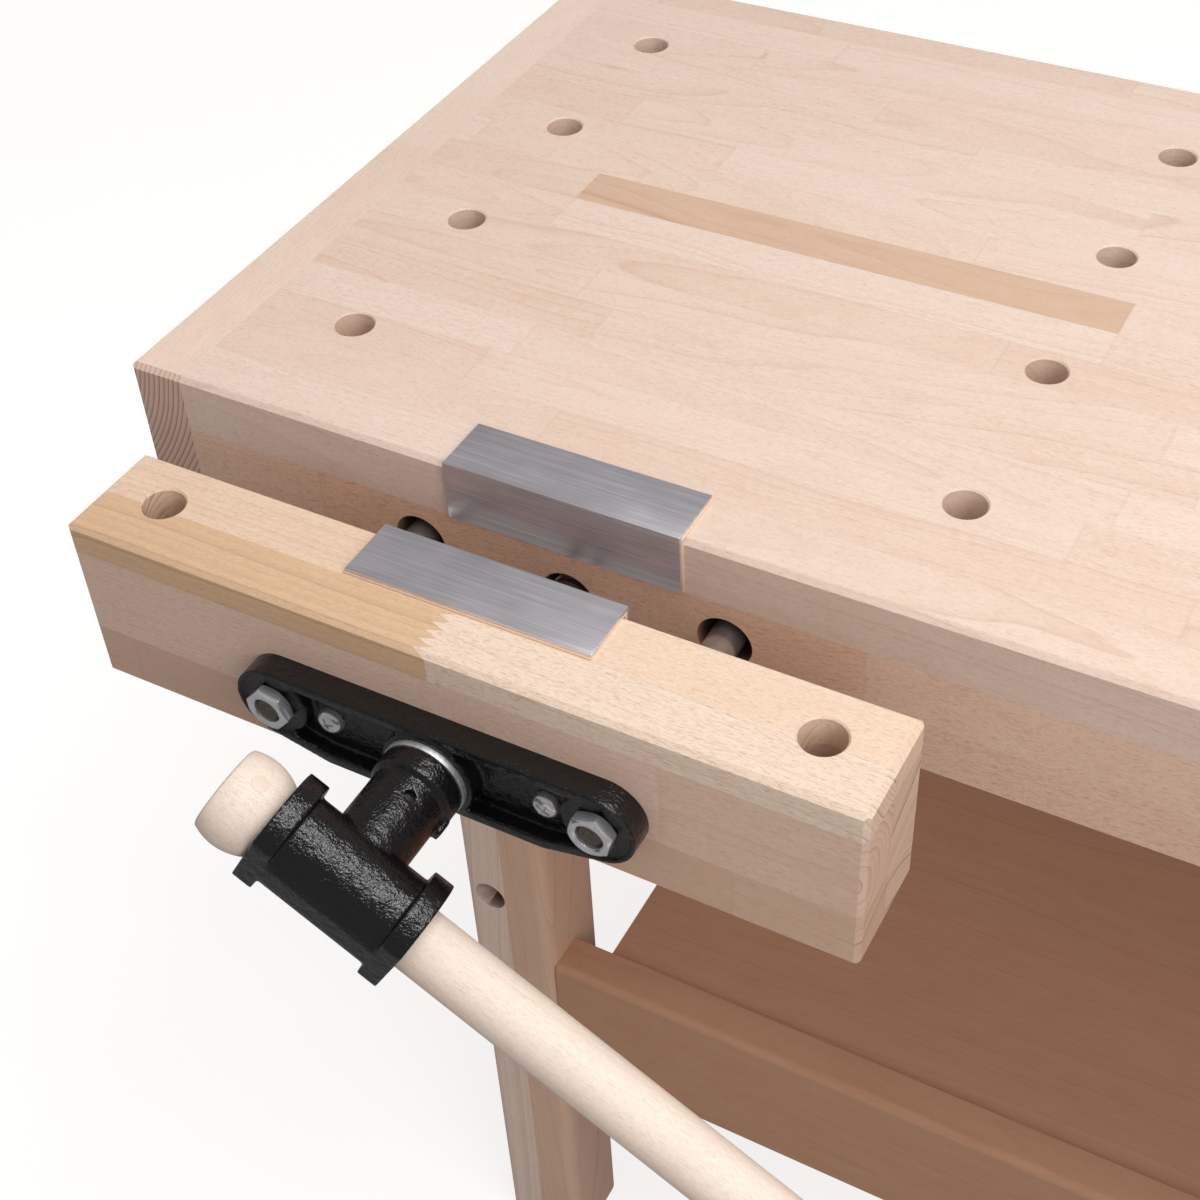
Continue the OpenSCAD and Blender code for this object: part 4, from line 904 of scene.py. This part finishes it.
# The tee hubs: iron castings in the bracket's paint. A collar and a neck stand on the screw,
# and a short barrel with two flanges carries the bar. A steel pin through the neck holds each.
collar_l, collar_r, collar_slope = 14 * mm, 24.5 * mm, 2 * mm
neck_r, neck_sunk = 21.5 * mm, 1 * mm
barrel_out, barrel_r, barrel_half, barrel_flat = 95.5 * mm, 26 * mm, 46 * mm, 25 * mm
flange_r, flange_w = 32 * mm, 12 * mm
lug_reach, lug_half, lug_start, lug_l = 25.2 * mm, 4.2 * mm, 33 * mm, 9.5 * mm
bar_hole_r, pin_hole_r, pin_out = 18 * mm, 3.05 * mm, 45.5 * mm
# The pin's near-black tones are painted shade: they make the pin look like the dark hole in the neck.
pin_shade_tone, pin_shade_dull = (0.05, 0.048, 0.046), (0.03, 0.028, 0.027)

pin_shade_steel = metal("pin_shade_steel", pin_shade_tone, pin_shade_dull, 0.35)
for side in vises:
    collar_end = hub_start + collar_l
    hub = turned([(collar_r, hub_start), (collar_r, collar_end - collar_slope),
                  (neck_r - neck_sunk, collar_end + 0.7 * collar_slope)])
    combine(hub, round_bar(neck_r, hub_start + collar_l / 2, barrel_out))
    combine(hub, cross_bar(barrel_r, -barrel_half, barrel_half, barrel_out))
    for start in (-barrel_half, barrel_half - flange_w):
        combine(hub, cross_bar(flange_r, start, start + flange_w, barrel_out))
    combine(hub, block((0, -lug_half, lug_start), (lug_reach, lug_half, lug_start + lug_l)))
    flat = barrel_out + barrel_flat
    cut(hub, block((-2 * barrel_half, -barrel_half, flat), (2 * barrel_half, barrel_half, 2 * flat)))
    cut(hub, cross_bar(bar_hole_r, -2 * barrel_half, 2 * barrel_half, barrel_out))
    cut(hub, round_bar(shank_r + play, 0, hub_start + shank_in_hub + play))
    pin_hole = round_bar(pin_hole_r, -2 * neck_r, 2 * neck_r, sides=small_sides)
    pin_hole.rotation_euler = (math.pi / 2, 0, 0)
    pin_hole.location = (0, 0, pin_out)
    cut(hub, pin_hole)
    settle(casting(hub), side + "_hub_casting", vises[side]["hub"], side + "_screw",
           [side + "_hub"], casting_paint)
    dress(side + "_hub_pin", pin_shade_steel)

# The handle bars: turned beech, smooth and pale, sliding freely in the hub. Each end is
# turned down to a tenon for its knob.
bar_r, bar_l, bar_start, bar_edge = 17.5 * mm, 360 * mm, 46.2 * mm, 0.6 * mm
tenon_r, tenon_l = 11 * mm, 22 * mm
knob_l, dowel_r, dowel_sides = 30 * mm, 4.5 * mm, 48
bar_tint, bar_line = (0.85, 0.73, 0.635), (0.58, 0.40, 0.28)

for seed, side in enumerate(vises):
    low_end = bar_l - bar_start
    bar = turned([(tenon_r, -bar_start - tenon_l), (tenon_r, -bar_start),
                  (bar_r - bar_edge, -bar_start), (bar_r, bar_edge - bar_start),
                  (bar_r, low_end - bar_edge), (bar_r - bar_edge, low_end),
                  (tenon_r, low_end), (tenon_r, low_end + tenon_l)])
    for height in (-bar_start - knob_l / 2, low_end + knob_l / 2):
        cut(bar, cross_bar(dowel_r + play, -bar_r, bar_r, height, dowel_sides))
    bar_place = vises[side]["hub"] @ Matrix.Translation((0, 0, barrel_out))
    bar_place = bar_place @ turn("X", 90) @ turn("Y", 90)
    vises[side]["bar"] = bar_place
    vises[side]["bar_beech"] = beech(side + "_bar_beech", bar_place @ turn("Y", -90), (bar_tint,),
                                     bar_line, figure=0.30, fleck=0.6, piths=((30, -40),), wander=30.0,
                                     bend=0.6, contrast=0.06, seed=81.0 + seed, end_dark=0.12)
    settle(bar, side + "_turned_bar", bar_place, side + "_handle",
           [side + "_handle_bar"], vises[side]["bar_beech"])

# The knobs: beech turned to a barrel with a slightly domed end, glued on the tenons and held
# by a dowel across each, cut flush with the round.
knob_inner_r, knob_belly_r, knob_outer_r, knob_dome = 21.5 * mm, 26 * mm, 23.7 * mm, 1.5 * mm
knob_rings, knob_edge, knob_lip = 16, 0.5 * mm, 0.4 * mm
dowel_proud, dowel_tint = 0.12 * mm, (0.80, 0.66, 0.55)


def knob_solid(grown):
    """A knob whose inner face is at the origin, made this much too large."""
    body = knob_l - knob_dome
    steps = [(knob_inner_r - knob_edge, 0.0)]
    for ring in range(knob_rings + 1):
        share = ring / knob_rings
        radius = (2 * knob_inner_r * (share - 0.5) * (share - 1) - 4 * knob_belly_r * share * (share - 1)
                  + 2 * knob_outer_r * share * (share - 0.5))
        steps.append((radius + grown, max(knob_lip, share * body)))
    steps += [(knob_outer_r - 0.35 * knob_dome, body + 0.42 * knob_dome),
              (knob_outer_r - 1.1 * knob_dome, body + 0.78 * knob_dome),
              (knob_outer_r - 3 * knob_dome, knob_l - 0.03 * knob_dome), (0.35 * knob_outer_r, knob_l)]
    return turned(steps)


for side in vises:
    dowels = []
    for end, shift in (("upper", turn("X", 180)), ("lower", Matrix.Identity(4))):
        face = -bar_start if end == "upper" else bar_l - bar_start
        knob_place = vises[side]["bar"] @ Matrix.Translation((0, 0, face)) @ shift
        knob = knob_solid(0.0)
        cut(knob, round_bar(tenon_r + play, -tenon_l, tenon_l + 4 * play))
        hole = cross_bar(dowel_r + play, -2 * bar_r, 2 * bar_r, knob_l / 2, dowel_sides)
        cut(knob, hole)
        settle(knob, side + "_" + end + "_barrel_knob", knob_place, side + "_handle",
               [side + "_" + end + "_knob"], vises[side]["bar_beech"])
        dowel = cross_bar(dowel_r, -2 * bar_r, 2 * bar_r, knob_l / 2, dowel_sides)
        combine(dowel, knob_solid(dowel_proud), "INTERSECT")
        dowel.matrix_world = knob_place @ dowel.matrix_world
        dowels.append(dowel)
    pins = unite(dowels)
    dowel_beech = beech(side + "_dowel_beech", vises[side]["bar"], (dowel_tint,), bar_line, figure=0.06,
                        fleck=0.3, piths=((30, -40),), seed=91.0, end_dark=0.2)
    settle(pins, side + "_flush_dowels", Matrix.Identity(4), side + "_handle",
           [side + "_knob_pins"], dowel_beech)

# The jaw caps: two loose angles of aluminium sheet, 150 mm long, laid over the edges of the
# bench and the front jaw. The metal is brushed along its length, with longer scratches.
cap_half, cap_w, cap_t, lining_t, cap_edge = 75 * mm, 40 * mm, 2 * mm, 1.5 * mm, 0.25 * mm
jaw_t, front_gap = 71 * mm, 65 * mm
aluminium_bright, aluminium_dull = (0.90, 0.87, 0.92), (0.60, 0.575, 0.62)


def brushed(name, place):
    """Aluminium brushed along X: fine lines, wider streaks and a few dull smears."""
    made, tree = new_material(name)
    point = in_piece(tree, place)
    lines = noise(tree, vector_calc(tree, "MULTIPLY", point, (1 / 40, 1.5, 1.5)), 1.0, 1.0)
    streaks = noise(tree, vector_calc(tree, "MULTIPLY", point, (1 / 190, 0.30, 0.30)), 1.0, 2.0)
    smears = noise(tree, point, 0.035, 2.0)
    share = calc(tree, "ADD", times(tree, streaks, 0.35), times(tree, lines, 0.45))
    share = calc(tree, "MULTIPLY_ADD", smears, 0.20, share)
    colour = ramp(tree, share, [(0.38, (*aluminium_dull, 1)), (0.72, (*aluminium_bright, 1))])
    bump = relief(tree, lines, 0.15, fine_relief)
    finish_material(tree, {"Base Color": colour, "Metallic": 0.8, "Normal": bump,
                           "Roughness": calc(tree, "MULTIPLY_ADD", smears, 0.14, 0.28)})
    return made


def angle(rise, thickness, width, half, longer=0.0):
    """An angle over the bench's front edge, its outer corner lifted by this much from the edge."""
    outer, inner = -rise, thickness - rise
    outline = [(outer, rise - width), (inner, rise - width), (inner, rise - thickness),
               (width - rise, rise - thickness), (width - rise, rise), (outer, rise)]
    piece = prism(outline, -half, half + longer)
    piece.matrix_world = turn("Z", 90) @ turn("X", 90)
    select_only(piece)
    bpy.ops.object.transform_apply(location=True, rotation=True, scale=True)
    return piece


jaw_edge_place = Matrix.Translation((0, jaw_up, -jaw_t - front_gap))
bench_edge = vises["front"]["place"] @ jaw_edge_place @ turn("X", -90)
jaw_edge = bench_edge @ Matrix.Translation((0, -front_gap, 0)) @ turn("Z", 180)
caps = (("bench_cap", bench_edge, "loose_bench_cap"), ("jaw_cap", jaw_edge, "loose_jaw_cap"))
aluminium = brushed("brushed_aluminium", bench_edge)
for cap, edge, body in caps:
    piece = soften(angle(lining_t + cap_t, cap_t, cap_w, cap_half), cap_edge)
    settle(piece, cap + "_angle", edge, body, [cap], aluminium, smooth=25)

# Their linings: thin tan board bonded inside each angle, so that it doesn't mark the wood. It
# looks out a little along the free edges.
lining_tint, lining_dark = (0.82, 0.63, 0.47), (0.72, 0.53, 0.385)
lining_proud, lining_edge, fibre_scale = 0.7 * mm, 0.15 * mm, 2500.0

made, tree = new_material("tan_lining")
where = link(tree, "TexCoord").outputs["Object"]
fibres = noise(tree, where, fibre_scale, 2.0)
colour = ramp(tree, fibres, [(0.35, (*lining_dark, 1)), (0.6, (*lining_tint, 1))])
bump = relief(tree, fibres, 0.1, fine_relief)
finish_material(tree, {"Base Color": colour, "Roughness": 0.75, "Normal": bump})
for cap, edge, body in caps:
    piece = angle(lining_t, lining_t, cap_w - cap_t + lining_proud, cap_half, lining_proud)
    settle(soften(piece, lining_edge), cap + "_tan_lining", edge, body, [cap + "_lining"],
           made, smooth=25)
